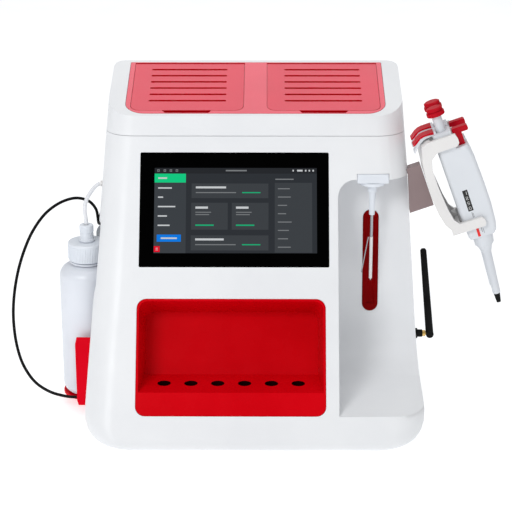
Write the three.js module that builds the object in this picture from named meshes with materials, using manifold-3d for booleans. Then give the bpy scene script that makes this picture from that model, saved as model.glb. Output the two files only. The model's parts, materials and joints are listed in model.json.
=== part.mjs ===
// A bench-top biochemistry analyzer with two lids, a sample bay, a tube tray,
// a reagent bottle and two pipettes. Millimetres, +X to the right, +Y to the back, +Z up.
import * as THREE from "three";
import { mergeVertices } from "three/addons/utils/BufferGeometryUtils.js";
import Module from "manifold-3d";

const wasm = await Module();
wasm.setup();

// Angles in degrees
const FRONT_LEAN = 30;
const DECK_SLOPE = 17;
const SIDE_DRAFT = 3.59;
const PLAN_FLARE = 0.9;
const BAY_LEAN = 8;
const BAY_FLOOR_SLOPE = 4;
const PIPETTE_TILT = 19.5;
const ANTENNA_FLATS = 6;

// Clearances and cutting allowances
const FIT = 0.4;
const GAP = 0.3;
const OVERRUN = 40;
const SINK = 0.6;
const SAME_PLACE = 0.01;

const rad = THREE.MathUtils.degToRad;
const LEAN_RUN = Math.tan(rad(FRONT_LEAN));

// Housing
const HOUSING = {
  baseHalfWidth: 184.65,
  bottom: -3,
  back: 303,
  seam: 297.6,
  wall: 3.5,
  frontCorner: 32,
  backCorner: 12,
  sideFoot: 29,
  frontFoot: 10,
  backFoot: 6,
  floorLedge: 6,
  seamGap: 0.5,
  lip: 2,
  lipReach: 4,
  topRoom: 12,
};
const FOOT_LEVEL_SHARES = [0, 0.05, 0.13, 0.27, 0.47, 0.73, 1];
const faceLength = HOUSING.seam / Math.cos(rad(FRONT_LEAN));

// Deck, measured up its slope from the edge that it makes with the front face
const DECK = {
  edgeRise: 20.1,
  front: 5.3,
  backRim: 5.24,
  sideRim: 20.02,
  frontCorner: 22,
  backCorner: 1.5,
  thickness: 8,
  ledge: 6,
  seatSkin: 3,
};
DECK.edgeZ = HOUSING.seam + DECK.edgeRise;
DECK.edgeY = DECK.edgeZ * LEAN_RUN;
DECK.back = (HOUSING.back - DECK.edgeY) / Math.cos(rad(DECK_SLOPE)) - DECK.backRim;
DECK.halfWidth = sideWall(DECK.edgeY, DECK.edgeZ) - DECK.sideRim;
HOUSING.top =
  DECK.edgeZ + (HOUSING.back - DECK.edgeY) * Math.tan(rad(DECK_SLOPE)) + HOUSING.topRoom;

const LID = {
  middleGap: 26.4,
  sideMargin: 5.9,
  front: 12.1,
  corner: 10,
  thickness: 3,
  barrel: 2.6,
  pin: 1.1,
  pinBore: 1.5,
  pinReach: 3.5,
  backWall: 1.5,
  slots: 6,
  slotEnd: 19.4,
  slotWidth: 3.3,
};
LID.width = DECK.halfWidth - LID.sideMargin - LID.middleGap / 2;
LID.centre = (LID.middleGap + LID.width) / 2;
LID.slotLength = LID.width - 2 * LID.slotEnd;
const hingeD = DECK.back - LID.backWall - GAP - LID.barrel;
LID.length = hingeD - LID.front;
// Along a lid from its front: the first slot, the last slot, and the tub's two ends
const LID_SHARES = { firstSlot: 0.20136, lastSlot: 0.87706, tubFront: 0.1152, tubBack: 0.79284 };
LID.slotFirst = LID.front + LID_SHARES.firstSlot * LID.length;
LID.slotPitch = ((LID_SHARES.lastSlot - LID_SHARES.firstSlot) * LID.length) / (LID.slots - 1);

const NOTCH = { width: 56, taper: 4, front: 6.8, depth: 6, lip: 0.7 };
const TUB = { sideMargin: 10.8, depth: 58, wall: 2.2 };
TUB.width = LID.width - 2 * TUB.sideMargin;
TUB.front = LID.front + LID_SHARES.tubFront * LID.length;
TUB.back = LID.front + LID_SHARES.tubBack * LID.length;
const PACK = { drop: 12, cap: 12, capHeight: 6 };
PACK.height = TUB.depth - PACK.drop;
PACK.capShift = TUB.width / 4;

// How the bay, the tray and the screen divide the front: widths of half the base, heights of the face
const FRONT_SHARES = { bay: 0.5088, trayBottom: 0.10505, tray: 0.36754, trayToScreen: 0.10214 };

// Sample bay
const BAY = {
  ledgeDrop: 42.7,
  ledgeDepth: 42.833,
  floorFrontZ: 31,
  cove: 62,
  coveSteps: 9,
  corner: 18,
};
BAY.left = HOUSING.baseHalfWidth * (1 - FRONT_SHARES.bay);
BAY.right = HOUSING.baseHalfWidth + OVERRUN;
BAY.ledge = HOUSING.seam - BAY.ledgeDrop;
BAY.ledgeBack = BAY.ledge * LEAN_RUN + BAY.ledgeDepth;
BAY.floorFrontY = BAY.floorFrontZ * LEAN_RUN;

// Tray, measured up the front face from the bottom edge
const TRAY = {
  sideMargin: 57.7,
  bayMargin: 14.35,
  corner: 10.5,
  depth: 45.8,
  wall: 2.4,
  draft: 5,
  shelfRise: 21.636,
  holes: 6,
  holeRadius: 7.3,
  wellWall: 1.9,
  wellSetBack: 25.36,
  wellDepth: 38,
  flange: 4,
  flangeThickness: 1.6,
};
const HOLE_END_SHARE = 0.14338;
TRAY.bottom = FRONT_SHARES.trayBottom * faceLength;
TRAY.height = FRONT_SHARES.tray * faceLength;
TRAY.left = TRAY.sideMargin - HOUSING.baseHalfWidth;
TRAY.width = BAY.left - TRAY.bayMargin - TRAY.left;
TRAY.x = TRAY.left + TRAY.width / 2;
TRAY.shelf = TRAY.bottom * Math.cos(rad(FRONT_LEAN)) + TRAY.shelfRise;
TRAY.wellY = TRAY.shelf * LEAN_RUN + TRAY.wellSetBack;
TRAY.holePitch = (TRAY.width * (1 - 2 * HOLE_END_SHARE)) / (TRAY.holes - 1);

// Screen, measured up the front face from the bottom edge
const SCREEN = {
  sideMargin: 59.15,
  bayMargin: 10.2,
  seamMargin: 18.44,
  corner: 1.7,
  glass: 3,
  module: 7,
  moduleInset: 8,
  flange: 5,
  flangeThickness: 1.6,
};
SCREEN.left = SCREEN.sideMargin - HOUSING.baseHalfWidth;
SCREEN.width = BAY.left - SCREEN.bayMargin - SCREEN.left;
SCREEN.x = SCREEN.left + SCREEN.width / 2;
SCREEN.bottom = TRAY.bottom + TRAY.height + FRONT_SHARES.trayToScreen * faceLength;
SCREEN.height = faceLength - SCREEN.seamMargin - SCREEN.bottom;

const KEY = {
  inset: 39.1,
  ledgeMargin: 44.5,
  coveMargin: 1.4,
  width: 17.3,
  proud: 0.8,
  dish: 1.6,
  dishWidth: 9,
  flange: 3,
  flangeThickness: 1.6,
  travel: 3,
  switchWidth: 22,
  switchHeight: 18,
  switchDepth: 9,
  legWidth: 4,
};
KEY.x = BAY.left + KEY.inset;
KEY.top = BAY.ledge - KEY.ledgeMargin;
KEY.bottom = BAY.floorFrontZ + BAY.cove + KEY.coveMargin;
KEY.z = (KEY.top + KEY.bottom) / 2;
KEY.length = KEY.top - KEY.bottom;

const SIPPER = {
  inset: 38.5,
  setForward: 32,
  blockWidth: 34.5,
  blockSetForward: 18,
  blockDrop: 3.5,
  blockCover: 1.8,
  earWidth: 4,
  earSetForward: 28,
  earDepth: 14,
  flangeRadius: 14,
  flangeThickness: 3.9,
  collarRadius: 5.3,
  collarLength: 8.4,
  sleeveTopRadius: 3.9,
  sleeveRadius: 3.1,
  sleeveLength: 26.5,
  boreRoom: 0.5,
  needleRadius: 1.5,
  needleTopDrop: 2.5,
  needleReach: 25.8,
  needleThin: 0.85,
  needlePoint: 1.8,
  tipWall: 0.55,
  tipRoom: 0.35,
  tipLength: 48.7,
  capillary: 0.6,
  capillaryReach: 7,
  capillaryRise: 7,
};
SIPPER.x = BAY.left + SIPPER.inset;
SIPPER.y = BAY.ledgeBack - SIPPER.setForward;
SIPPER.blockBack = BAY.ledgeBack - SIPPER.blockSetForward;
SIPPER.blockBottom = BAY.ledge - SIPPER.blockDrop;
SIPPER.blockTop = BAY.ledge + HOUSING.wall + GAP + SIPPER.blockCover;
SIPPER.earFront = BAY.ledgeBack - SIPPER.earSetForward;
SIPPER.earBack = SIPPER.earFront + SIPPER.earDepth;
SIPPER.flangeTop = SIPPER.blockBottom - GAP;
SIPPER.flangeBottom = SIPPER.flangeTop - SIPPER.flangeThickness;
SIPPER.collarBottom = SIPPER.flangeBottom - SIPPER.collarLength;
SIPPER.sleeveBottom = SIPPER.collarBottom - SIPPER.sleeveLength;
SIPPER.bore = SIPPER.needleRadius + SIPPER.boreRoom;
SIPPER.needleTop = SIPPER.blockTop - SIPPER.needleTopDrop;
SIPPER.needleStep = SIPPER.sleeveBottom - SIPPER.needleReach;
SIPPER.tipBottom = SIPPER.needleStep - GAP - SIPPER.tipLength;
SIPPER.needleBottom = SIPPER.tipBottom - SIPPER.needlePoint;
SIPPER.tipBore = SIPPER.needleThin + SIPPER.tipRoom;
SIPPER.tipSleeve = SIPPER.tipBore + SIPPER.tipWall;
SIPPER.capillaryBottom = SIPPER.tipBottom + SIPPER.capillaryRise;

// Bottle station on the left: saucer, bottle, cap, gland and dip tube from the bottom up
const HOLDER = {
  bottom: 4.4,
  floor: 1.4,
  rimWall: 1.6,
  rimTop: 7.2,
  plateReach: 12.3,
  plateThickness: 4.6,
  plateTop: 84.5,
  chamfer: 1.5,
  chamferDrop: 7,
  slope: 3,
  footChamfer: 1.5,
  footChamferRise: 5.5,
  innerMargin: 3.5,
};
const BOTTLE = {
  radius: 31.5,
  footRadius: 11,
  shoulder: 145,
  shoulderHeight: 13.5,
  neckRadius: 16.2,
  neckHeight: 21.7,
  wall: 1.5,
};
BOTTLE.bottom = HOLDER.bottom + HOLDER.floor + GAP;
BOTTLE.neckBottom = BOTTLE.shoulder + BOTTLE.shoulderHeight;
BOTTLE.top = BOTTLE.neckBottom + BOTTLE.neckHeight;
HOLDER.rim = BOTTLE.radius + GAP;

const DIP = { radius: 2.2, rise: 8.1 };
const GLAND = { flange: 9, flangeHeight: 2.4, radius: 7.5, height: 19.2, stemWall: 1.2, round: 2 };
const CAP = { room: 0.5, wall: 4.8, roof: 3, skirtRise: 2.3, chamfer: 1.5 };
DIP.bottom = BOTTLE.bottom + DIP.rise;
GLAND.bore = DIP.radius + GAP;
GLAND.stem = GLAND.bore + GLAND.stemWall;
CAP.radius = BOTTLE.neckRadius + CAP.room + CAP.wall;
CAP.bottom = BOTTLE.neckBottom + CAP.skirtRise;
CAP.top = BOTTLE.top + FIT + CAP.roof;
CAP.hole = GLAND.stem + GAP;
GLAND.top = CAP.top + GLAND.height;

// The station's row from front to back: plate, socket, bottle, strap
const NICHE = { room: 2.5, front: 105.5, strip: 20, topRoom: 5.2 };
const SOCKET = { reach: 10.9, width: 23, depth: 6.4, bottom: 6.5, top: 15.5, bottleRoom: 1.3 };
const STATION = { overhang: 1.95 };
const STRAP = { width: 27.2, bottleRoom: 7.1, thickness: 2, topDrop: 16, bottom: 8, round: 12 };
STATION.x = -(HOUSING.baseHalfWidth + STATION.overhang);
HOLDER.plateFront = NICHE.front + GAP;
SOCKET.front = HOLDER.plateFront + HOLDER.plateThickness + FIT;
STATION.y = SOCKET.front + SOCKET.depth + SOCKET.bottleRoom + BOTTLE.radius;
STRAP.front = STATION.y + BOTTLE.radius + STRAP.bottleRoom;
NICHE.back = STRAP.front + STRAP.thickness + FIT;
NICHE.x = STATION.x + BOTTLE.radius + NICHE.room;
NICHE.top = GLAND.top + NICHE.topRoom;
STRAP.left = NICHE.x - FIT - STRAP.width;
STRAP.top = NICHE.top - STRAP.topDrop;
HOLDER.plateLeft = STATION.x - HOLDER.plateReach;
HOLDER.innerEdge = NICHE.x - HOLDER.innerMargin;
SOCKET.left = STATION.x - SOCKET.reach;
SOCKET.right = SOCKET.left + SOCKET.width;

// Cords: route points chosen by hand
const REAGENT_TUBE = {
  radius: 2.2,
  route: [
    [-186.6, 150, 203.1],
    [-186.6, 150, 210],
    [-187.9, 151, 217],
    [-189.3, 153.5, 224.2],
    [-186.4, 158, 230.4],
    [-181.4, 165, 236.6],
    [-177.6, 171, 241],
    [-175.4, 173.2, 242.9],
    [-172.7, 173.6, 243],
  ],
};
const SENSOR_CABLE = {
  radius: 1.7,
  route: [
    [-178, 206, 187],
    [-178, 201, 188.4],
    [-177.8, 193, 206.4],
    [-184.8, 188, 218.2],
    [-200.4, 184, 222.7],
    [-216.8, 180, 219.5],
    [-233.6, 174, 208.9],
    [-248.2, 167, 190.4],
    [-258.3, 160, 169],
    [-266.2, 152, 142.7],
    [-270.8, 145, 112.3],
    [-270.8, 139, 87.2],
    [-266.9, 133, 61.3],
    [-259.9, 127.5, 42.4],
    [-247.2, 122, 25.4],
    [-230.3, 117, 15.8],
    [-213, 114.5, 11.6],
    [-204.5, 114, 10.8],
    [-197.8, 114, 11],
  ],
};
const TUBE_SIDES = 10;
const CABLE_SIDES = 8;
const TUBE_STEPS = 18;
const CABLE_STEPS = 60;
const FITTING = { setBack: 33.304, proud: 2.1, stem: 2.8, flange: 3.6, flangeThickness: 1.4 };
// The fitting's place between the niche's lining and the seam, as a share of that height
const FITTING_SHARE = 0.36585;
const nicheLining = NICHE.top + HOUSING.wall;
FITTING.z = nicheLining + FITTING_SHARE * (HOUSING.seam - nicheLining);
FITTING.y = FITTING.z * LEAN_RUN + FITTING.setBack;
const PLUG = {
  width: 4.4,
  nicheMargin: 15.8,
  length: 22,
  height: 9,
  strapDrop: 5,
  nose: 4,
  noseRadius: 1.9,
  noseInset: 2.5,
};
PLUG.front = NICHE.back + PLUG.nicheMargin;
PLUG.z = STRAP.top - PLUG.strapDrop;

// Antenna on the right
const ANTENNA = {
  y: 190,
  z: 58.5,
  barrel: 3,
  barrelInside: 7,
  flange: 6,
  flangeThickness: 2.4,
  nutRadius: 4.7,
  nutLength: 5.6,
  ringRadius: 3.6,
  ringLength: 3.2,
  tongue: 1.6,
  tongueRadius: 3.2,
  forkRadius: 4.5,
  pivot: 5.2,
  pin: 1.1,
  rodTop: 3.6,
  rodLength: 104,
  rodLean: 5.9,
  roundTop: 2.4,
  wallHole: 3.6,
};

// Pipette station, measured from the front pipette's plunger cap, across and down the pipette
const PIPETTE = {
  outboard: 7.35,
  capRise: 41.9,
  firstY: 149.8,
  depth: 24,
  edge: 5,
  capCentre: -0.8,
  capTop: 3.4,
  discRadius: 8.6,
  discBottom: 7.2,
  neckIn: 0.7,
  grooveBottom: 7.9,
  capRadius: 9.7,
  capBottom: 12.6,
  capRound: 1.2,
  stemRadius: 5.2,
  stemBottom: 40,
  boreBottom: 58,
  plungerTravel: 14,
  shoulderLeft: 8.5,
  shoulderTop: 52,
  hookWidth: 15,
  buttonLeft: 9.8,
  buttonRight: 27.5,
  buttonTop: 32.2,
  buttonBottom: 38.3,
  buttonRound: 2,
  neckLeft: 12.8,
  neckRight: 19.6,
  neckBottom: 62,
  neckDepth: 8,
  slotBottom: 75,
  ejectorTravel: 10,
  coneTopX: 6.9,
  coneBottom: 241,
  coneBottomX: 0.9,
};
PIPETTE.x = HOUSING.baseHalfWidth + PIPETTE.outboard;
PIPETTE.z = HOUSING.seam + PIPETTE.capRise;
PIPETTE.stemBore = PIPETTE.stemRadius + FIT;
// Down the body: drop, left edge, right edge
const PIPETTE_BODY = [
  [31, -12.2, 20.6],
  [54, -11.8, 22.4],
  [67, -11.6, 24.8],
  [100, -11.1, 26.2],
  [124, -10.7, 26.4],
  [146, -9.2, 25.1],
  [154.5, -8.8, 23.2],
  [157.5, -7.6, 20.8],
];
// The finger hook across and down: along its upper edge to the tip and back under it
const PIPETTE_HOOK = [
  [-7, 28],
  [-20.2, 28.1],
  [-24.5, 28.9],
  [-28.7, 31.1],
  [-31.7, 33.6],
  [-34.1, 35.4],
  [-33.8, 36.2],
  [-31.6, 37.2],
  [-33.8, 40.1],
  [-36, 43.3],
  [-34.8, 44.4],
  [-31.8, 40.8],
  [-28.9, 37.9],
  [-25.5, 35.1],
  [-21.7, 32.9],
  [-16.3, 31.8],
  [-12.4, 31.6],
  [-11, 34],
  [-7, 34],
];
// Down the cone: share of its length, radius
const CONE = {
  lengthShares: [0, 0.132, 0.18, 0.27, 0.856, 0.87, 1],
  radii: [11.6, 10.7, 7.8, 5.2, 4.4, 3.7, 2.4],
};
const CRADLE = {
  cheek: 5,
  mid: 2.2,
  frontRoom: 0.8,
  midRoom: 0.5,
  backRoom: 0.6,
  spineWall: 4,
  restLeft: -24,
  restRoom: 0.5,
};
PIPETTE.pitch = PIPETTE.depth + CRADLE.mid + 2 * CRADLE.midRoom;
CRADLE.front = PIPETTE.firstY - PIPETTE.depth / 2 - CRADLE.frontRoom - CRADLE.cheek;
CRADLE.back =
  PIPETTE.firstY + PIPETTE.pitch + PIPETTE.depth / 2 + CRADLE.backRoom + CRADLE.cheek;
// The C's edges, across and down: the spine's outside, and the whole inside from the lower arm up
const CRADLE_OUTER = [
  [-20, 34.6],
  [-26.3, 37.5],
  [-30.9, 53.8],
  [-32.9, 74],
  [-33.4, 96],
  [-31.8, 115],
  [-28.6, 129],
  [-22.8, 139.4],
  [-15, 144],
];
const CRADLE_LOWER_END = [
  [12.2, 144.4],
  [14.4, 141.4],
  [14.4, 137],
  [11.6, 134],
];
const CRADLE_UPPER_END = [
  [10.3, 48.4],
  [13.2, 45.5],
  [13.4, 41],
  [11.8, 34.8],
];
const CRADLE_INNER = [
  [-13.3, 133.4],
  [-17.8, 127.3],
  [-20.6, 112.9],
  [-22.8, 87.1],
  [-23, 66],
  [-20.1, 54.6],
  [-12.5, 48.4],
];
const BRACKET = { top: 66.6, bottom: 116.2, front: 172, back: 187, left: -70, right: -33.8 };

// Rear, base and inside
const REAR = {
  sideMargin: 36.65,
  bottom: 26,
  seamMargin: 13.6,
  corner: 6,
  flange: 4,
  flangeThickness: 1.6,
};
REAR.halfWidth = HOUSING.baseHalfWidth - REAR.sideMargin;
REAR.top = HOUSING.seam - REAR.seamMargin;
const VENT = { inset: 64, drop: 88, slots: 8, pitch: 8, width: 4, length: 64 };
VENT.x = REAR.halfWidth - VENT.inset;
VENT.z = REAR.top - VENT.drop;
const FAN = {
  side: 80,
  depth: 20,
  bore: 37.6,
  hub: 14,
  spokes: 3,
  spokeWidth: 4,
  back: 3,
  axle: 2,
  rotorHub: 15,
  rotorDepth: 13,
  blades: 7,
  bladeReach: 36.4,
  bladeThickness: 2,
  bladePitch: 35,
  bladeChord: 12,
};
const INLET = {
  inset: 36,
  z: 66,
  width: 28,
  height: 20.4,
  flangeWidth: 48,
  flangeHeight: 24,
  flangeThickness: 2.4,
  recessWidth: 24,
  recessHeight: 16.4,
  recessDepth: 16,
  pinWidth: 2,
  pinHeight: 4.6,
  pinLength: 11,
  pinPitch: 7,
  pinRise: 3.6,
};
INLET.x = INLET.inset - REAR.halfWidth;
const ROCKER = {
  fromInlet: 46,
  z: 66,
  width: 13,
  height: 20,
  bezel: 2.6,
  bezelThickness: 2,
  rise: 3.2,
  depth: 8,
  throw: 16,
  margin: 1.1,
  pivotDepth: 2,
  pin: 1.2,
  pinReach: 0.8,
};
ROCKER.x = INLET.x + ROCKER.fromInlet;
const PORTS = {
  fromRocker: 62,
  z: 64,
  width: 46,
  height: 18,
  depth: 24,
  count: 2,
  pitch: 21,
  recessWidth: 13,
  recessHeight: 10,
  recessDepth: 14,
};
PORTS.x = ROCKER.x + PORTS.fromRocker;
const BASE = { thickness: 2, clearance: 0.5 };
const FOOT = { radius: 9, height: 6, inset: 66.65, frontY: 42, backInset: 41, round: 1.5 };
FOOT.x = HOUSING.baseHalfWidth - FOOT.inset;
FOOT.backY = HOUSING.back - FOOT.backInset;
const BOARD = {
  panelMargin: 8,
  fanMargin: 24,
  inletMargin: 42,
  topMargin: 26,
  setForward: 23,
  thickness: 1.8,
  post: 3,
  postInset: 8,
  chip: 30,
  chipHeight: 4,
  header: 44,
  headerWidth: 9,
  headerHeight: 9,
};
BOARD.left = BOARD.panelMargin - REAR.halfWidth;
BOARD.right = VENT.x - FAN.side / 2 - BOARD.fanMargin;
BOARD.bottom = INLET.z + BOARD.inletMargin;
BOARD.top = REAR.top - BOARD.topMargin;
BOARD.y = HOUSING.back - BOARD.setForward;
const SUPPLY = {
  nicheMargin: 7.1,
  width: 134,
  backMargin: 27,
  depth: 80,
  height: 42,
  flange: 6,
  flangeThickness: 2,
};
SUPPLY.left = NICHE.x + HOUSING.wall + SUPPLY.nicheMargin;
SUPPLY.right = SUPPLY.left + SUPPLY.width;
SUPPLY.back = HOUSING.back - SUPPLY.backMargin;
SUPPLY.front = SUPPLY.back - SUPPLY.depth;
const PUMP = {
  inset: 64.65,
  z: 64,
  backMargin: 29,
  motorLength: 38,
  motorHalf: 21,
  footHalf: 17,
  headRadius: 27,
  headBore: 22.6,
  headDepth: 19,
  headBack: 3,
  shaft: 2.5,
  shaftReach: 12,
  hub: 8,
  rollers: 3,
  rollerRadius: 5,
  rollerCentre: 16,
  rotorDepth: 13,
};
PUMP.x = HOUSING.baseHalfWidth - PUMP.inset;
PUMP.motorBack = HOUSING.back - PUMP.backMargin;
PUMP.motorFront = PUMP.motorBack - PUMP.motorLength;
PUMP.shaftBore = PUMP.shaft + FIT;
const PHOTOMETER = {
  bayMargin: 21.2,
  width: 58,
  depth: 54,
  height: 50,
  lens: 11,
  lensReach: 12,
  lamp: 9,
  lampRise: 16,
};
PHOTOMETER.right = BAY.left - HOUSING.wall - PHOTOMETER.bayMargin;
PHOTOMETER.left = PHOTOMETER.right - PHOTOMETER.width;
PHOTOMETER.back = SUPPLY.front;
PHOTOMETER.front = PHOTOMETER.back - PHOTOMETER.depth;

// Mesh resolution
const ROUND = { large: 30, medium: 18, small: 12, tiny: 8 };
const CORNER_STEPS = 8;
const BACK_CORNER_STEPS = 3;
const ARC_STEPS = 4;

const faceMatrix = new THREE.Matrix4().makeRotationX(rad(90 - FRONT_LEAN));
const deckMatrix = new THREE.Matrix4()
  .makeTranslation(0, DECK.edgeY, DECK.edgeZ)
  .multiply(new THREE.Matrix4().makeRotationX(rad(DECK_SLOPE)));

// Colours and finishes
function finish(color, roughness, metalness = 0) {
  return new THREE.MeshStandardMaterial({ color, roughness, metalness });
}
const white = finish(0xeceeef, 0.35);
const warmWhite = finish(0xf0eeea, 0.45);
const deckRed = finish(0xe04a5c, 0.3);
const trayRed = finish(0xbe0612, 0.32);
const keyRed = finish(0x8c0408, 0.35);
const holderRed = finish(0xdc0020, 0.4);
const glassBlack = finish(0x050506, 0.08);
const rubber = finish(0x202022, 0.9);
const blackPlastic = finish(0x0b0b0c, 0.5);
const greyPlastic = finish(0x9aa0a6, 0.5);
const steel = finish(0xb9bcc0, 0.3, 1);
const zinc = finish(0xa7abb0, 0.45, 0.9);
const brass = finish(0xc79a3c, 0.3, 1);
const mauve = finish(0x8c7876, 0.5, 0.3);
const translucent = finish(0xe6eaf3, 0.4);
const pipetteGrey = finish(0xcdd4e1, 0.4);
const pipetteRed = finish(0x9c1420, 0.4);
const circuitGreen = finish(0x16643a, 0.6);

// A closed body for joining and cutting; its faces are turned outwards
function solid(geometry) {
  const plain = geometry.clone();
  plain.deleteAttribute("normal");
  plain.deleteAttribute("uv");
  const merged = mergeVertices(plain);
  const triVerts = new Uint32Array(merged.index.array);
  const build = () =>
    new wasm.Manifold(
      new wasm.Mesh({ numProp: 3, vertProperties: merged.attributes.position.array, triVerts }),
    );
  const made = build();
  if (made.volume() >= 0) return made;
  for (let i = 0; i < triVerts.length; i += 3) {
    [triVerts[i], triVerts[i + 1]] = [triVerts[i + 1], triVerts[i]];
  }
  return build();
}

function geometryOf(body) {
  const { vertProperties, triVerts } = body.getMesh();
  const geometry = new THREE.BufferGeometry();
  geometry.setAttribute("position", new THREE.BufferAttribute(vertProperties, 3));
  geometry.setIndex(new THREE.BufferAttribute(triVerts, 1));
  geometry.computeVertexNormals();
  return geometry;
}

const join = (first, ...others) => others.reduce((all, next) => all.add(next), first);
const cut = (first, ...others) => others.reduce((rest, next) => rest.subtract(next), first);
const placed = (geometry, matrix) => geometry.clone().applyMatrix4(matrix);
const onFace = (geometry) => placed(geometry, faceMatrix);
const onDeck = (geometry) => placed(geometry, deckMatrix);

function box(low, high) {
  const size = high.map((value, axis) => value - low[axis]);
  const middle = high.map((value, axis) => (value + low[axis]) / 2);
  return new THREE.BoxGeometry(...size).translate(...middle);
}

// A cylinder or cone between two places on one axis
function rod(axis, centre, from, to, radius, sides, endRadius = radius) {
  const geometry = new THREE.CylinderGeometry(endRadius, radius, to - from, sides);
  geometry.translate(0, (from + to) / 2, 0);
  if (axis === "x") geometry.rotateZ(-Math.PI / 2);
  if (axis === "z") geometry.rotateX(Math.PI / 2);
  const [u, v] = centre;
  if (axis === "x") geometry.translate(0, u, v);
  if (axis === "y") geometry.translate(u, 0, v);
  if (axis === "z") geometry.translate(u, v, 0);
  return geometry;
}

// A turned body about a vertical axis, from points of radius and height
function turned(points, sides) {
  const profile = points.map(([radius, height]) => new THREE.Vector2(radius, height));
  return new THREE.LatheGeometry(profile, sides).rotateX(Math.PI / 2);
}

function roundedRect(width, height, corners, x = 0, y = 0) {
  const [bottomRadius, topRadius] = Array.isArray(corners) ? corners : [corners, corners];
  const [w, h] = [width / 2, height / 2];
  const shape = new THREE.Shape();
  shape.moveTo(x - w + bottomRadius, y - h);
  shape.lineTo(x + w - bottomRadius, y - h);
  shape.absarc(x + w - bottomRadius, y - h + bottomRadius, bottomRadius, -Math.PI / 2, 0);
  shape.lineTo(x + w, y + h - topRadius);
  shape.absarc(x + w - topRadius, y + h - topRadius, topRadius, 0, Math.PI / 2);
  shape.lineTo(x - w + topRadius, y + h);
  shape.absarc(x - w + topRadius, y + h - topRadius, topRadius, Math.PI / 2, Math.PI);
  shape.lineTo(x - w, y - h + bottomRadius);
  shape.absarc(x - w + bottomRadius, y - h + bottomRadius, bottomRadius, Math.PI, 1.5 * Math.PI);
  return shape;
}

function polygon(points) {
  return new THREE.Shape(points.map(([u, v]) => new THREE.Vector2(u, v)));
}

// The points round a shape, without repeats
function outlinePoints(shape, curveSegments) {
  const points = shape.getPoints(curveSegments);
  return points.filter((point, i) => point.distanceTo(points[(i + 1) % points.length]) > SAME_PLACE);
}

function slab(shape, from, to, curveSegments = ARC_STEPS) {
  const outline = new THREE.Shape(outlinePoints(shape, curveSegments));
  const drawn = new THREE.ExtrudeGeometry(outline, { depth: to - from, bevelEnabled: false });
  return drawn.translate(0, 0, from);
}

// A shape drawn in Y and Z, drawn out along X
function slabX(shape, from, to, curveSegments) {
  const turn = new THREE.Matrix4().makeBasis(
    new THREE.Vector3(0, 1, 0),
    new THREE.Vector3(0, 0, 1),
    new THREE.Vector3(1, 0, 0),
  );
  return slab(shape, from, to, curveSegments).applyMatrix4(turn);
}

// A shape drawn in X and Z, drawn out along Y
function slabY(shape, from, to, curveSegments) {
  const turn = new THREE.Matrix4().makeBasis(
    new THREE.Vector3(1, 0, 0),
    new THREE.Vector3(0, 0, 1),
    new THREE.Vector3(0, -1, 0),
  );
  return slab(shape, -to, -from, curveSegments).applyMatrix4(turn);
}

function addPiece(parent, name, shape, material) {
  const geometry = shape.isBufferGeometry ? geometryOf(solid(shape)) : geometryOf(shape);
  const mesh = new THREE.Mesh(geometry, material);
  mesh.name = name;
  parent.add(mesh);
  return mesh;
}

function addGroup(parent, x, y, z) {
  const group = new THREE.Group();
  group.position.set(x, y, z);
  parent.add(group);
  return group;
}

// How far a rounded bottom edge of this radius draws in at a height
function drawnIn(height, radius) {
  if (height >= radius || radius <= 0) return 0;
  const rise = radius - Math.max(height, 0);
  return radius - Math.sqrt(radius * radius - rise * rise);
}

// One level outline of the housing, drawn in all round by inset, and by further on the level
function housingRing(height, inset, further) {
  const frontPlane = height * LEAN_RUN;
  const foot = (radius) => drawnIn(height - HOUSING.bottom - inset, radius - inset) + further;
  const front = frontPlane + foot(HOUSING.frontFoot) + inset / Math.cos(rad(FRONT_LEAN));
  const back = HOUSING.back - foot(HOUSING.backFoot) - inset;
  const draft = height * Math.tan(rad(SIDE_DRAFT));
  const half = HOUSING.baseHalfWidth - draft - foot(HOUSING.sideFoot) - inset;
  const frontRadius = HOUSING.frontCorner - inset - further;
  const backRadius = HOUSING.backCorner - inset - further;
  const corners = [
    [-half + frontRadius, front + frontRadius, frontRadius, Math.PI, CORNER_STEPS],
    [half - frontRadius, front + frontRadius, frontRadius, 1.5 * Math.PI, CORNER_STEPS],
    [half - backRadius, back - backRadius, backRadius, 0, BACK_CORNER_STEPS],
    [-half + backRadius, back - backRadius, backRadius, Math.PI / 2, BACK_CORNER_STEPS],
  ];
  const ring = [];
  for (const [x, y, radius, start, steps] of corners) {
    for (let step = 0; step <= steps; step++) {
      const angle = start + (step / steps) * (Math.PI / 2);
      const px = x + radius * Math.cos(angle);
      const py = y + radius * Math.sin(angle);
      ring.push([px + Math.sign(px) * Math.tan(rad(PLAN_FLARE)) * (py - frontPlane), py, height]);
    }
  }
  return ring;
}

// A closed body through rings of equal count, closed by a flat cap at each end
function loft(rings) {
  const count = rings[0].length;
  const positions = rings.flat(2);
  const middle = (ring) =>
    [0, 1, 2].map((axis) => ring.reduce((sum, point) => sum + point[axis], 0) / ring.length);
  positions.push(...middle(rings[0]), ...middle(rings[rings.length - 1]));
  const bottomCentre = rings.length * count;
  const index = [];
  for (let level = 0; level + 1 < rings.length; level++) {
    for (let i = 0; i < count; i++) {
      const a = level * count + i;
      const b = level * count + ((i + 1) % count);
      index.push(a, b, b + count, a, b + count, a + count);
    }
  }
  const last = (rings.length - 1) * count;
  for (let i = 0; i < count; i++) {
    const next = (i + 1) % count;
    index.push(next, i, bottomCentre);
    index.push(last + i, last + next, bottomCentre + 1);
  }
  const geometry = new THREE.BufferGeometry();
  geometry.setAttribute("position", new THREE.Float32BufferAttribute(positions, 3));
  geometry.setIndex(index);
  return geometry;
}

function housingBlock(from, to, inset, further = 0) {
  const levels = FOOT_LEVEL_SHARES.map((share) => HOUSING.bottom + share * HOUSING.sideFoot).filter(
    (height) => height > from + SINK && height < to - SINK,
  );
  return solid(loft([from, ...levels, to].map((height) => housingRing(height, inset, further))));
}

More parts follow.
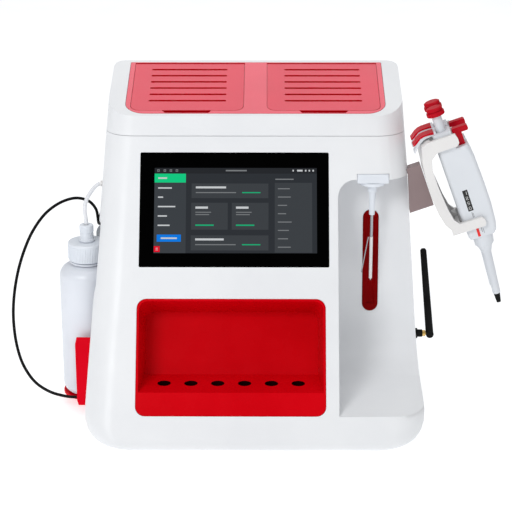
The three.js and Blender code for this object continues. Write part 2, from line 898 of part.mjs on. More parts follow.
// The x of the housing's side wall at a depth and height
function sideWall(y, height) {
  const half = HOUSING.baseHalfWidth - height * Math.tan(rad(SIDE_DRAFT));
  return half + Math.tan(rad(PLAN_FLARE)) * (y - height * LEAN_RUN);
}

// The bay's side profile in Y and Z, grown outwards by margin
function bayProfile(margin) {
  const lean = rad(BAY_LEAN);
  const slope = rad(BAY_FLOOR_SLOPE);
  const ledge = BAY.ledge + margin;
  const wallY = (z) => BAY.ledgeBack + margin / Math.cos(lean) - (BAY.ledge - z) * Math.tan(lean);
  const floorDrop = margin / Math.cos(slope);
  const floorZ = (y) => BAY.floorFrontZ - floorDrop + (y - BAY.floorFrontY) * Math.tan(slope);
  const cornerZ =
    (floorZ(0) + Math.tan(slope) * wallY(0)) / (1 - Math.tan(slope) * Math.tan(lean));
  const cornerY = wallY(cornerZ);
  const radius = BAY.cove + margin;
  const turning = Math.PI / 2 - lean - slope;
  const tangent = radius * Math.tan(turning / 2);
  const startY = cornerY + tangent * Math.sin(lean);
  const startZ = cornerZ + tangent * Math.cos(lean);
  const centreY = startY - radius * Math.cos(lean);
  const centreZ = startZ + radius * Math.sin(lean);
  const points = [
    [-OVERRUN, ledge],
    [wallY(ledge), ledge],
  ];
  for (let step = 0; step <= BAY.coveSteps; step++) {
    const angle = -lean - (turning * step) / BAY.coveSteps;
    points.push([centreY + radius * Math.cos(angle), centreZ + radius * Math.sin(angle)]);
  }
  points.push([-OVERRUN, floorZ(-OVERRUN)]);
  return polygon(points);
}

function bayBlock(margin) {
  const side = slabX(bayProfile(margin), BAY.left - margin, BAY.right);
  const low = -OVERRUN;
  const high = BAY.ledge + margin;
  const width = BAY.right + OVERRUN - (BAY.left - margin);
  const outline = roundedRect(
    width,
    high - low,
    BAY.corner + margin,
    BAY.left - margin + width / 2,
    (high + low) / 2,
  );
  return solid(side).intersect(solid(slabY(outline, -OVERRUN, HOUSING.back)));
}

const bayWallY = (z) => BAY.ledgeBack - (BAY.ledge - z) * Math.tan(rad(BAY_LEAN));
const keyMatrix = new THREE.Matrix4()
  .makeTranslation(KEY.x, bayWallY(KEY.z), KEY.z)
  .multiply(new THREE.Matrix4().makeRotationX(rad(90 - BAY_LEAN)));
const keyOutline = (margin) =>
  roundedRect(KEY.width + 2 * margin, KEY.length + 2 * margin, KEY.width / 2 + margin);

const analyzer = new THREE.Group();
const housing = addGroup(analyzer, 0, 0, FOOT.height);
const face = addGroup(housing, 0, 0, 0);
face.rotation.x = rad(90 - FRONT_LEAN);
const deck = addGroup(housing, 0, DECK.edgeY, DECK.edgeZ);
deck.rotation.x = rad(DECK_SLOPE);

// Front sizes shared by a window in the shell and what fits it
const screenMiddle = SCREEN.bottom + SCREEN.height / 2;
const trayMiddle = TRAY.bottom + TRAY.height / 2;

function sipperBlockOutline(margin) {
  const top = SIPPER.blockTop + margin;
  const bottom = SIPPER.blockBottom - margin;
  const back = SIPPER.blockBack + margin;
  return [
    [bottom * LEAN_RUN - margin, bottom],
    [back, bottom],
    [back, top],
    [top * LEAN_RUN - margin, top],
  ];
}

// The bottle niche in Y and Z, grown outwards by margin: upright in front, then leaning with the front face
function nicheBlock(margin) {
  const front = NICHE.front - margin;
  const back = NICHE.back + margin;
  const top = NICHE.top + margin;
  const strip = NICHE.strip - margin / Math.cos(rad(FRONT_LEAN));
  const profile = polygon([
    [front, -OVERRUN],
    [back, -OVERRUN],
    [back, top],
    [strip + top * LEAN_RUN, top],
    [front, (front - strip) / LEAN_RUN],
  ]);
  return solid(slabX(profile, -HOUSING.baseHalfWidth - OVERRUN, NICHE.x + margin));
}

// Main shell: front, sides and back in one moulding, open below for the base and above for the cover
function mainShell() {
  const floorTop = HOUSING.bottom + HOUSING.wall;
  const outer = housingBlock(HOUSING.bottom, HOUSING.seam, 0);
  const inner = housingBlock(floorTop, HOUSING.seam + HOUSING.wall, HOUSING.wall);
  const floorMouth = housingBlock(
    HOUSING.bottom - HOUSING.wall,
    floorTop + SINK,
    HOUSING.wall,
    HOUSING.floorLedge,
  );
  const lining = join(bayBlock(HOUSING.wall), nicheBlock(HOUSING.wall)).intersect(outer);
  const window = slab(
    roundedRect(SCREEN.width + 2 * GAP, SCREEN.height + 2 * GAP, SCREEN.corner, SCREEN.x, screenMiddle),
    -OVERRUN / 4,
    OVERRUN,
  );
  const trayMouth = slab(
    roundedRect(TRAY.width + 2 * GAP, TRAY.height + 2 * GAP, TRAY.corner, TRAY.x, trayMiddle),
    -OVERRUN / 4,
    OVERRUN,
  );
  const rearMouth = slabY(rearOutline(FIT), HOUSING.back - HOUSING.wall - SINK, HOUSING.back + OVERRUN);
  const halfBlock = SIPPER.blockWidth / 2 + FIT;
  const blockNotch = box(
    [SIPPER.x - halfBlock, 0, BAY.ledge - SINK],
    [SIPPER.x + halfBlock, SIPPER.blockBack + FIT, SIPPER.blockTop + FIT],
  );
  const keySlot = placed(slab(keyOutline(GAP), -OVERRUN / 4, OVERRUN / 4), keyMatrix);
  const antennaHole = rod(
    "x",
    [ANTENNA.y, ANTENNA.z],
    HOUSING.baseHalfWidth - OVERRUN / 2,
    HOUSING.baseHalfWidth + OVERRUN,
    ANTENNA.wallHole,
    ROUND.small,
  );
  const fittingHole = rod(
    "x",
    [FITTING.y, FITTING.z],
    -HOUSING.baseHalfWidth - OVERRUN,
    -HOUSING.baseHalfWidth + OVERRUN,
    FITTING.stem + FIT,
    ROUND.small,
  );
  return cut(
    join(cut(outer, inner, floorMouth), lining),
    bayBlock(0),
    nicheBlock(0),
    solid(onFace(window)),
    solid(onFace(trayMouth)),
    solid(rearMouth),
    solid(blockNotch),
    solid(keySlot),
    solid(antennaHole),
    solid(fittingHole),
  );
}

function panelOutline(margin) {
  const length = DECK.back - DECK.front + 2 * margin;
  return roundedRect(
    2 * (DECK.halfWidth + margin),
    length,
    [DECK.frontCorner + margin, DECK.backCorner],
    0,
    (DECK.back + DECK.front) / 2,
  );
}

// Top cover: the white cap with its sloping rim, which carries the red deck
function topCover() {
  const bottom = HOUSING.seam + HOUSING.seamGap;
  const reach = HOUSING.back;
  const skin = DECK.thickness + DECK.seatSkin;
  const outer = housingBlock(bottom, HOUSING.top, 0);
  const above = solid(onDeck(box([-reach, -reach, 0], [reach, reach, reach])));
  const under = solid(onDeck(box([-reach, -reach, -reach], [reach, reach, -skin])));
  const hollow = housingBlock(bottom - OVERRUN, HOUSING.top, HOUSING.wall).intersect(under);
  const recess = solid(onDeck(slab(panelOutline(FIT), -DECK.thickness - GAP, OVERRUN)));
  const mouth = solid(onDeck(slab(panelOutline(-DECK.ledge), -skin - SINK, OVERRUN)));
  const lipInset = HOUSING.wall + FIT;
  const lipTop = bottom + HOUSING.lipReach;
  const lip = join(
    housingBlock(HOUSING.seam - HOUSING.lipReach, lipTop, lipInset),
    housingBlock(bottom, lipTop, HOUSING.wall - SINK),
  );
  const lipHollow = housingBlock(
    HOUSING.seam - OVERRUN,
    lipTop + OVERRUN,
    lipInset + HOUSING.lip,
  );
  return join(cut(outer, above, hollow, recess, mouth), cut(lip, lipHollow));
}

// Red deck: a panel with two lid recesses, a finger notch in front of each, and two tubs below
function lidDeck() {
  const top = -LID.thickness - GAP;
  let made = solid(slab(panelOutline(0), -DECK.thickness, 0));
  const tubs = [];
  const tools = [];
  for (const side of [-1, 1]) {
    const x = side * LID.centre;
    const halfTub = TUB.width / 2;
    tubs.push(
      solid(
        box(
          [x - halfTub - TUB.wall, TUB.front - TUB.wall, -TUB.depth - TUB.wall],
          [x + halfTub + TUB.wall, TUB.back + TUB.wall, -DECK.thickness / 2],
        ),
      ),
    );
    tools.push(solid(box([x - halfTub, TUB.front, -TUB.depth], [x + halfTub, TUB.back, OVERRUN])));
    const recessBack = hingeD + LID.barrel + GAP;
    const recessLength = recessBack - LID.front + FIT + OVERRUN;
    const recess = roundedRect(
      LID.width + 2 * FIT,
      recessLength,
      LID.corner,
      x,
      LID.front - FIT + recessLength / 2,
    );
    const limit = box([-HOUSING.back, 0, -OVERRUN], [HOUSING.back, recessBack, OVERRUN]);
    tools.push(solid(slab(recess, top, OVERRUN)).intersect(solid(limit)));
    tools.push(
      solid(
        rod(
          "x",
          [hingeD, -LID.barrel],
          x - LID.width / 2 - FIT,
          x + LID.width / 2 + FIT,
          LID.barrel + GAP,
          ROUND.small,
        ),
      ),
    );
    tools.push(
      solid(
        rod(
          "x",
          [hingeD, -LID.barrel],
          x - LID.width / 2 - LID.pinReach - GAP,
          x + LID.width / 2 + LID.pinReach + GAP,
          LID.pinBore,
          ROUND.tiny,
        ),
      ),
    );
    const [wide, narrow] = [NOTCH.width / 2, NOTCH.width / 2 - NOTCH.taper];
    const notch = polygon([
      [x - narrow, NOTCH.front],
      [x + narrow, NOTCH.front],
      [x + wide, LID.front + NOTCH.lip],
      [x - wide, LID.front + NOTCH.lip],
    ]);
    tools.push(solid(slab(notch, -NOTCH.depth, OVERRUN)));
  }
  made = join(made, ...tubs);
  return cut(made, ...tools);
}

// A lid about its hinge line: plate, barrel at the back edge and six vent slots
function lid() {
  const front = LID.front - hingeD;
  const back = 0;
  const plate = slab(
    roundedRect(LID.width, back - front + LID.corner, LID.corner, 0, (back + front + LID.corner) / 2),
    LID.barrel - LID.thickness,
    LID.barrel,
  );
  const trim = box([-LID.width, -HOUSING.back, -OVERRUN], [LID.width, 0, OVERRUN]);
  const barrel = rod("x", [0, 0], -LID.width / 2, LID.width / 2, LID.barrel, ROUND.small);
  const bore = rod("x", [0, 0], -LID.width, LID.width, LID.pinBore, ROUND.tiny);
  const slots = [];
  for (let i = 0; i < LID.slots; i++) {
    const y = LID.slotFirst + i * LID.slotPitch - hingeD;
    const outline = roundedRect(LID.slotLength, LID.slotWidth, LID.slotWidth / 2, 0, y);
    slots.push(solid(slab(outline, -OVERRUN / 4, OVERRUN / 4, 2)));
  }
  return cut(join(solid(plate).intersect(solid(trim)), solid(barrel)), solid(bore), ...slots);
}

function reagentPack() {
  const half = TUB.width / 2 - GAP;
  const body = box(
    [-half, TUB.front + GAP, -TUB.depth + GAP],
    [half, TUB.back - GAP, PACK.height - TUB.depth],
  );
  const middle = (TUB.front + TUB.back) / 2;
  const caps = [-1, 1].map((side) =>
    solid(
      rod(
        "z",
        [side * PACK.capShift, middle],
        PACK.height - TUB.depth - SINK,
        PACK.height - TUB.depth + PACK.capHeight,
        PACK.cap,
        ROUND.medium,
      ),
    ),
  );
  return join(solid(body), ...caps);
}

function displayPanel() {
  const back = -SCREEN.glass - GAP;
  const inset = SCREEN.moduleInset;
  const module = slab(
    roundedRect(SCREEN.width - inset, SCREEN.height - inset, SCREEN.corner, SCREEN.x, screenMiddle),
    back - SCREEN.module,
    back,
  );
  const flangeTop = -HOUSING.wall - GAP;
  const flange = slab(
    roundedRect(
      SCREEN.width + 2 * SCREEN.flange,
      SCREEN.height + 2 * SCREEN.flange,
      SCREEN.corner,
      SCREEN.x,
      screenMiddle,
    ),
    flangeTop - SCREEN.flangeThickness,
    flangeTop,
  );
  return join(solid(module), solid(flange));
}

// A tapering block behind an outline on the front face, drawn in by inset and by the draft at its back
function trayBlock(inset, from, to) {
  const levels = [from, ...(from < 0 && to > 0 ? [0] : []), to];
  const rings = levels.map((z) => {
    const drawn = inset + (TRAY.draft * Math.max(0, -z)) / TRAY.depth;
    const shape = roundedRect(
      TRAY.width - 2 * drawn,
      TRAY.height - 2 * drawn,
      TRAY.corner - inset / 2,
      TRAY.x,
      trayMiddle,
    );
    return outlinePoints(shape, ARC_STEPS).map((point) => [point.x, point.y, z]);
  });
  return solid(onFace(loft(rings)));
}

function wellX(i) {
  return TRAY.x + (i - (TRAY.holes - 1) / 2) * TRAY.holePitch;
}

// Tube tray: a drafted recess with a level shelf, and a well under each of its six holes
function tubeTray() {
  const reach = HOUSING.back;
  const outer = trayBlock(0, -TRAY.depth, 0);
  const aboveShelf = solid(box([-reach, -reach, TRAY.shelf], [reach, reach, reach]));
  const underShelf = solid(box([-reach, -reach, -reach], [reach, reach, TRAY.shelf - TRAY.wall]));
  const recess = trayBlock(TRAY.wall, -TRAY.depth + TRAY.wall, OVERRUN).intersect(aboveShelf);
  const hollow = trayBlock(TRAY.wall, -TRAY.depth - OVERRUN, -TRAY.wall).intersect(underShelf);
  const wells = [];
  const bores = [];
  for (let i = 0; i < TRAY.holes; i++) {
    const centre = [wellX(i), TRAY.wellY];
    const bottom = TRAY.shelf - TRAY.wellDepth;
    const outerRadius = TRAY.holeRadius + TRAY.wellWall;
    wells.push(solid(rod("z", centre, bottom, TRAY.shelf - SINK, outerRadius, ROUND.medium)));
    bores.push(
      solid(rod("z", centre, bottom + TRAY.wall, TRAY.shelf + OVERRUN / 2, TRAY.holeRadius, ROUND.medium)),
    );
  }
  const flangeTop = -HOUSING.wall - GAP;
  const flangeShape = roundedRect(
    TRAY.width + 2 * TRAY.flange,
    TRAY.height + 2 * TRAY.flange,
    TRAY.corner + TRAY.flange,
    TRAY.x,
    trayMiddle,
  );
  const flange = solid(onFace(slab(flangeShape, flangeTop - TRAY.flangeThickness, flangeTop)));
  return cut(join(cut(join(outer, flange), recess, hollow), ...wells), ...bores);
}

// Aspirate key, drawn with its front face to +Z, pressed into the bay's wall
function aspirateKey() {
  const behind = -HOUSING.wall - GAP;
  const bar = slab(keyOutline(0), behind - KEY.flangeThickness / 2, KEY.proud, 8);
  const flange = slab(keyOutline(KEY.flange), behind - KEY.flangeThickness, behind, 8);
  const dish = rod(
    "y",
    [0, KEY.proud + KEY.dishWidth - KEY.dish],
    -KEY.length / 2 + KEY.width / 2,
    KEY.length / 2 - KEY.width / 2,
    KEY.dishWidth,
    ROUND.large,
  );
  return cut(join(solid(bar), solid(flange)), solid(dish));
}

// Key switch: a bridge over the key's flange, with the switch in its middle
function keySwitch() {
  const behind = -HOUSING.wall - GAP;
  const clear = behind - KEY.flangeThickness - KEY.travel - GAP;
  const legIn = KEY.width / 2 + KEY.flange + FIT;
  const legOut = legIn + KEY.legWidth;
  const halfHeight = KEY.switchHeight / 2;
  const bridge = box([-legOut, -halfHeight, clear - KEY.legWidth], [legOut, halfHeight, clear]);
  const body = box(
    [-KEY.switchWidth / 2, -halfHeight, clear - KEY.switchDepth],
    [KEY.switchWidth / 2, halfHeight, clear],
  );
  const legs = [-1, 1].map((side) =>
    solid(
      box(
        [Math.min(side * legIn, side * legOut), -halfHeight, clear - SINK],
        [Math.max(side * legIn, side * legOut), halfHeight, behind],
      ),
    ),
  );
  return join(solid(bridge), solid(body), ...legs);
}

function sipperBlock() {
  const half = SIPPER.blockWidth / 2;
  const block = slabX(polygon(sipperBlockOutline(0)), SIPPER.x - half, SIPPER.x + half);
  const earBottom = BAY.ledge + HOUSING.wall + GAP;
  const ears = box(
    [SIPPER.x - half - SIPPER.earWidth, SIPPER.earFront, earBottom],
    [SIPPER.x + half + SIPPER.earWidth, SIPPER.earBack, SIPPER.blockTop],
  );
  const bore = rod(
    "z",
    [SIPPER.x, SIPPER.y],
    SIPPER.blockBottom - OVERRUN,
    SIPPER.blockTop + OVERRUN,
    SIPPER.bore,
    ROUND.small,
  );
  return cut(join(solid(block), solid(ears)), solid(bore));
}

// Nozzle about the needle: a disc under the block, a collar and a tapered sleeve
function sipperNozzle() {
  return turned(
    [
      [SIPPER.bore, SIPPER.sleeveBottom],
      [SIPPER.sleeveRadius, SIPPER.sleeveBottom],
      [SIPPER.sleeveTopRadius, SIPPER.collarBottom],
      [SIPPER.collarRadius - SINK, SIPPER.collarBottom],
      [SIPPER.collarRadius, SIPPER.collarBottom + SINK],
      [SIPPER.collarRadius, SIPPER.flangeBottom],
      [SIPPER.flangeRadius - SINK, SIPPER.flangeBottom],
      [SIPPER.flangeRadius, SIPPER.flangeBottom + SINK],
      [SIPPER.flangeRadius, SIPPER.flangeTop],
      [SIPPER.bore, SIPPER.flangeTop],
      [SIPPER.bore, SIPPER.sleeveBottom],
    ],
    ROUND.medium,
  );
}

function sampleProbe() {
  return turned(
    [
      [0, SIPPER.needleBottom],
      [SIPPER.needleThin, SIPPER.needleBottom],
      [SIPPER.needleThin, SIPPER.needleStep],
      [SIPPER.needleRadius, SIPPER.needleStep],
      [SIPPER.needleRadius, SIPPER.needleTop],
      [0, SIPPER.needleTop],
    ],
    ROUND.tiny,
  );
}

function probeSleeve() {
  const top = SIPPER.needleStep - GAP;
  return turned(
    [
      [SIPPER.tipBore, SIPPER.tipBottom],
      [SIPPER.tipSleeve, SIPPER.tipBottom],
      [SIPPER.tipSleeve, top],
      [SIPPER.tipBore, top],
      [SIPPER.tipBore, SIPPER.tipBottom],
    ],
    ROUND.small,
  );
}

// A straight round bar between two points
function bar(from, to, radius, sides) {
  const [start, end] = [new THREE.Vector3(...from), new THREE.Vector3(...to)];
  const direction = end.clone().sub(start);
  const turn = new THREE.Quaternion().setFromUnitVectors(
    new THREE.Vector3(0, 1, 0),
    direction.clone().normalize(),
  );
  return new THREE.CylinderGeometry(radius, radius, direction.length(), sides)
    .applyQuaternion(turn)
    .translate(...start.add(end).divideScalar(2).toArray());
}

function capillary() {
  const x = SIPPER.x - SIPPER.tipSleeve - GAP - 2 * SIPPER.capillary;
  const low = [x - SIPPER.capillaryReach, SIPPER.y, SIPPER.capillaryBottom];
  return bar(low, [x, SIPPER.y, SIPPER.needleStep - GAP], SIPPER.capillary, ROUND.tiny);
}

// A round tube along a hand-picked route
function cord({ radius, route }, sides, steps) {
  const path = new THREE.CatmullRomCurve3(route.map((point) => new THREE.Vector3(...point)));
  const section = polygon(
    Array.from({ length: sides }, (_, i) => {
      const angle = (2 * Math.PI * i) / sides;
      return [radius * Math.cos(angle), radius * Math.sin(angle)];
    }),
  );
  return new THREE.ExtrudeGeometry(section, { steps, extrudePath: path, bevelEnabled: false });
}

function tubeFitting() {
  const wallX = -sideWall(FITTING.y, FITTING.z);
  const centre = [FITTING.y, FITTING.z];
  const outside = wallX - FITTING.proud;
  const inside = wallX + HOUSING.wall + GAP + FITTING.flangeThickness;
  const [lip, nut] = [outside + FITTING.flangeThickness, inside - FITTING.flangeThickness / 2];
  return join(
    solid(rod("x", centre, outside, lip, FITTING.flange, ROUND.small)),
    solid(rod("x", centre, outside, inside + FITTING.flangeThickness, FITTING.stem, ROUND.small)),
    solid(rod("x", centre, nut, nut + FITTING.flangeThickness, FITTING.flange, ROUND.small)),
  );
}

function sensorPlug() {
  const half = PLUG.height / 2;
  const wallX = -sideWall(PLUG.front + PLUG.nose + PLUG.length, PLUG.z - half);
  const right = wallX - GAP;
  const body = box(
    [right - PLUG.width, PLUG.front + PLUG.nose, PLUG.z - half],
    [right, PLUG.front + PLUG.nose + PLUG.length, PLUG.z + half],
  );
  const nose = rod(
    "y",
    [right - PLUG.noseInset, PLUG.z],
    PLUG.front,
    PLUG.front + PLUG.nose + SINK,
    PLUG.noseRadius,
    ROUND.small,
  );
  return join(solid(body), solid(nose));
}

function sensorSocket() {
  return box(
    [SOCKET.left, SOCKET.front, SOCKET.bottom],
    [SOCKET.right, SOCKET.front + SOCKET.depth, SOCKET.top],
  );
}

// Bottle: a blown shell with a round shoulder and an open neck
function reagentBottle() {
  const inner = BOTTLE.radius - BOTTLE.wall;
  const innerNeck = BOTTLE.neckRadius - BOTTLE.wall;
  const foot = BOTTLE.footRadius * (1 - Math.SQRT1_2);
  const outside = [
    [0, BOTTLE.bottom],
    [BOTTLE.radius - BOTTLE.footRadius, BOTTLE.bottom],
    [BOTTLE.radius - foot, BOTTLE.bottom + foot],
    [BOTTLE.radius, BOTTLE.bottom + BOTTLE.footRadius],
  ];
  const inside = [
    [inner, BOTTLE.bottom + BOTTLE.footRadius],
    [inner - foot, BOTTLE.bottom + foot + BOTTLE.wall],
    [inner - BOTTLE.footRadius, BOTTLE.bottom + BOTTLE.wall],
    [0, BOTTLE.bottom + BOTTLE.wall],
  ];
  const shoulder = (radius, neck, drop) => {
    const points = [];
    for (let step = 0; step <= ARC_STEPS; step++) {
      const angle = (step / ARC_STEPS) * (Math.PI / 2);
      const rise = BOTTLE.shoulderHeight * Math.sin(angle);
      points.push([neck + (radius - neck) * Math.cos(angle), BOTTLE.shoulder + rise - drop]);
    }
    return points;
  };
  return turned(
    [
      ...outside,
      ...shoulder(BOTTLE.radius, BOTTLE.neckRadius, 0),
      [BOTTLE.neckRadius, BOTTLE.top],
      [innerNeck, BOTTLE.top],
      ...shoulder(inner, innerNeck, BOTTLE.wall).reverse(),
      ...inside,
    ],
    ROUND.large,
  );
}

function bottleCap() {
  const inner = CAP.radius - CAP.wall;
  return turned(
    [
      [inner, CAP.bottom],
      [CAP.radius - CAP.chamfer, CAP.bottom],
      [CAP.radius, CAP.bottom + CAP.chamfer],
      [CAP.radius, CAP.top - CAP.chamfer],
      [CAP.radius - CAP.chamfer, CAP.top],
      [CAP.hole, CAP.top],
      [CAP.hole, CAP.top - CAP.roof],
      [inner, CAP.top - CAP.roof],
      [inner, CAP.bottom],
    ],
    ROUND.large,
  );
}

function capGland() {
  const bottom = CAP.top + GAP;
  const low = CAP.top - CAP.roof;
  return turned(
    [
      [GLAND.bore, low],
      [GLAND.stem, low],
      [GLAND.stem, bottom],
      [GLAND.flange, bottom],
      [GLAND.flange, bottom + GLAND.flangeHeight],
      [GLAND.radius, bottom + GLAND.flangeHeight],
      [GLAND.radius, GLAND.top - GLAND.round],
      [GLAND.radius - GLAND.round, GLAND.top],
      [GLAND.bore, GLAND.top],
      [GLAND.bore, low],
    ],
    ROUND.medium,
  );
}

// Holder: a saucer with a low rim, and an upright plate whose front slopes back along its top
function bottleHolder() {
  const floorTop = HOLDER.bottom + HOLDER.floor;
  const saucer = turned(
    [
      [0, HOLDER.bottom],
      [HOLDER.rim, HOLDER.bottom],
      [HOLDER.rim, HOLDER.rimTop],
      [HOLDER.rim - HOLDER.rimWall, HOLDER.rimTop],
      [HOLDER.rim - HOLDER.rimWall, floorTop],
      [0, floorTop],
    ],
    ROUND.large,
  ).translate(STATION.x, STATION.y, 0);
  const back = HOLDER.plateFront + HOLDER.plateThickness;
  const plate = slabY(
    polygon([
      [HOLDER.plateLeft + HOLDER.footChamfer, HOLDER.bottom],
      [HOLDER.innerEdge, HOLDER.bottom],
      [HOLDER.innerEdge, HOLDER.plateTop - HOLDER.chamferDrop],
      [HOLDER.innerEdge - HOLDER.chamfer, HOLDER.plateTop],
      [HOLDER.plateLeft + HOLDER.chamfer, HOLDER.plateTop],
      [HOLDER.plateLeft, HOLDER.plateTop - HOLDER.chamferDrop],
      [HOLDER.plateLeft, HOLDER.bottom + HOLDER.footChamferRise],
    ]),
    HOLDER.plateFront,
    back,
  );
  const slope = slabX(
    polygon([
      [HOLDER.plateFront - HOLDER.slope, HOLDER.plateTop - 2 * HOLDER.chamferDrop],
      [HOLDER.plateFront + HOLDER.slope, HOLDER.plateTop],
      [HOLDER.plateFront - HOLDER.slope, HOLDER.plateTop],
    ]),
    HOLDER.plateLeft - OVERRUN,
    HOLDER.innerEdge + OVERRUN,
  );
  const web = box(
    [HOLDER.plateLeft + HOLDER.footChamfer, back - SINK, HOLDER.bottom],
    [HOLDER.innerEdge, STATION.y - HOLDER.rim / 2, floorTop],
  );
  return join(solid(saucer), cut(solid(plate), solid(slope)), solid(web));
}

function holderBackplate() {
  const right = NICHE.x - FIT;
  const width = right - STRAP.left;
  const outline = roundedRect(
    width,
    STRAP.top - STRAP.bottom,
    [STRAP.round / 2, STRAP.round],
    STRAP.left + width / 2,
    (STRAP.top + STRAP.bottom) / 2,
  );
  return slabY(outline, STRAP.front, STRAP.front + STRAP.thickness);
}

// Antenna parts: a connector through the wall, a swivel with a tongue, and a rod on a fork
const antennaWall = sideWall(ANTENNA.y + ANTENNA.flange, ANTENNA.z - ANTENNA.flange);
const swivelX = antennaWall + FIT + ANTENNA.flangeThickness + ANTENNA.nutLength + GAP;
const foldX = swivelX + ANTENNA.ringLength + ANTENNA.pivot;

function antennaConnector() {
  const start = antennaWall + FIT;
  const centre = [ANTENNA.y, ANTENNA.z];
  const nutStart = start + ANTENNA.flangeThickness;
  const nutEnd = nutStart + ANTENNA.nutLength;
  return join(
    solid(rod("x", centre, start, nutStart, ANTENNA.flange, ROUND.medium)),
    solid(rod("x", centre, antennaWall - ANTENNA.barrelInside, nutStart, ANTENNA.barrel, ROUND.small)),
    solid(rod("x", centre, nutStart - SINK, nutEnd, ANTENNA.nutRadius, ANTENNA_FLATS)),
  );
}

// Swivel about its own axis: ring, then a flat tongue with a cross hole
function antennaBase() {
  const reach = foldX - swivelX;
  const ring = rod("x", [0, 0], 0, ANTENNA.ringLength, ANTENNA.ringRadius, ROUND.medium);
  const half = ANTENNA.tongue;
  const arm = box([ANTENNA.ringLength - SINK, -half, -half], [reach, half, half]);
  const eye = rod("y", [reach, 0], -half, half, ANTENNA.tongueRadius, ROUND.medium);
  const hole = rod("y", [reach, 0], -OVERRUN, OVERRUN, ANTENNA.pin + GAP, ROUND.small);
  return cut(join(solid(ring), solid(arm), solid(eye)), solid(hole));
}

// Rod about its fold axis: a forked foot round the tongue, a cross pin and a tapered mast
function antennaRod() {
  const rest = ANTENNA.forkRadius;
  const knuckle = rod("y", [0, 0], -rest, rest, rest, ROUND.medium);
  const roundStart = ANTENNA.rodLength - ANTENNA.roundTop;
  const mast = turned(
    [
      [0, 0],
      [rest, 0],
      [ANTENNA.rodTop, roundStart],
      [ANTENNA.rodTop - ANTENNA.roundTop / 2, ANTENNA.rodLength - ANTENNA.roundTop / 4],
      [0, ANTENNA.rodLength],
    ],
    ROUND.medium,
  );
  const half = ANTENNA.tongue + FIT;
  const clear = ANTENNA.tongueRadius + FIT;
  const slot = join(
    solid(box([-OVERRUN, -half, -OVERRUN], [0, half, ANTENNA.tongue + FIT])),
    solid(box([-OVERRUN, -half, -OVERRUN], [ANTENNA.tongue + FIT, half, 0])),
    solid(rod("y", [0, 0], -half, half, clear, ROUND.medium)),
  );
  const lean = new THREE.Matrix4().makeRotationY(-rad(ANTENNA.rodLean));
  const pin = rod("y", [0, 0], -rest + SINK, rest - SINK, ANTENNA.pin, ROUND.small);
  return join(cut(join(solid(knuckle), solid(placed(mast, lean))), slot), solid(pin));
}

// Pipette drawings are across (x) and down (negative z) from the top of the plunger's cap
const down = (points) => points.map(([across, drop]) => [across, -drop]);

function pipetteBody() {
  const rings = PIPETTE_BODY.map(([drop, left, right]) => {
    const outline = roundedRect(right - left, PIPETTE.depth, PIPETTE.edge, (left + right) / 2);
    return outlinePoints(outline, ARC_STEPS).map((point) => [point.x, point.y, -drop]);
  });
  const grip = loft(rings.reverse());
  const step = box(
    [PIPETTE.shoulderLeft, -PIPETTE.depth, -PIPETTE.shoulderTop],
    [PIPETTE.shoulderLeft + OVERRUN, PIPETTE.depth, 0],
  );
  const hook = slabY(polygon(down(PIPETTE_HOOK)), -PIPETTE.hookWidth / 2, PIPETTE.hookWidth / 2);
  const bore = rod(
    "z",
    [PIPETTE.capCentre, 0],
    -PIPETTE.boreBottom,
    OVERRUN,
    PIPETTE.stemBore,
    ROUND.medium,
  );
  const slot = box(
    [PIPETTE.neckLeft - GAP, -PIPETTE.neckDepth / 2 - GAP, -PIPETTE.slotBottom],
    [PIPETTE.neckRight + GAP, PIPETTE.neckDepth / 2 + GAP, 0],
  );
  const [coneTop] = PIPETTE_BODY[PIPETTE_BODY.length - 1];
  const coneRun = PIPETTE.coneBottomX - PIPETTE.coneTopX;
  const coneDrop = PIPETTE.coneBottom - coneTop;
  const coneLength = Math.hypot(coneRun, coneDrop);
  const profile = CONE.lengthShares.map((share, i) => [CONE.radii[i], -share * coneLength]);
  const outline = [[0, -coneLength], ...profile.reverse(), [CONE.radii[0], SINK], [0, SINK]];
  const cone = turned(outline, ROUND.medium)
    .rotateY(Math.atan2(-coneRun, coneDrop))
    .translate(PIPETTE.coneTopX, 0, -coneTop);
  return cut(join(cut(solid(grip), solid(step)), solid(hook), solid(cone)), solid(bore), solid(slot));
}

function pipettePlunger() {
  return turned(
    [
      [0, -PIPETTE.stemBottom],
      [PIPETTE.stemRadius, -PIPETTE.stemBottom],
      [PIPETTE.stemRadius, -PIPETTE.capBottom],
      [PIPETTE.capRadius, -PIPETTE.capBottom],
      [PIPETTE.capRadius, -PIPETTE.grooveBottom],
      [PIPETTE.discRadius - PIPETTE.neckIn, -PIPETTE.grooveBottom],
      [PIPETTE.discRadius - PIPETTE.neckIn, -PIPETTE.discBottom],
      [PIPETTE.discRadius, -PIPETTE.discBottom],
      [PIPETTE.discRadius, -PIPETTE.capTop - PIPETTE.capRound],
      [PIPETTE.discRadius - PIPETTE.capRound, -PIPETTE.capTop],
      [0, -PIPETTE.capTop],
    ],
    ROUND.medium,
  ).translate(PIPETTE.capCentre, 0, 0);
}

function pipetteEjector() {
  const half = PIPETTE.neckDepth / 2;
  const button = slabY(
    roundedRect(
      PIPETTE.buttonRight - PIPETTE.buttonLeft,
      PIPETTE.buttonBottom - PIPETTE.buttonTop,
      PIPETTE.buttonRound,
      (PIPETTE.buttonRight + PIPETTE.buttonLeft) / 2,
      -(PIPETTE.buttonBottom + PIPETTE.buttonTop) / 2,
    ),
    -half - GAP,
    half + GAP,
  );
  const neck = box(
    [PIPETTE.neckLeft, -half, -PIPETTE.neckBottom],
    [PIPETTE.neckRight, half, -PIPETTE.buttonBottom + SINK],
  );
  return join(solid(button), solid(neck));
}

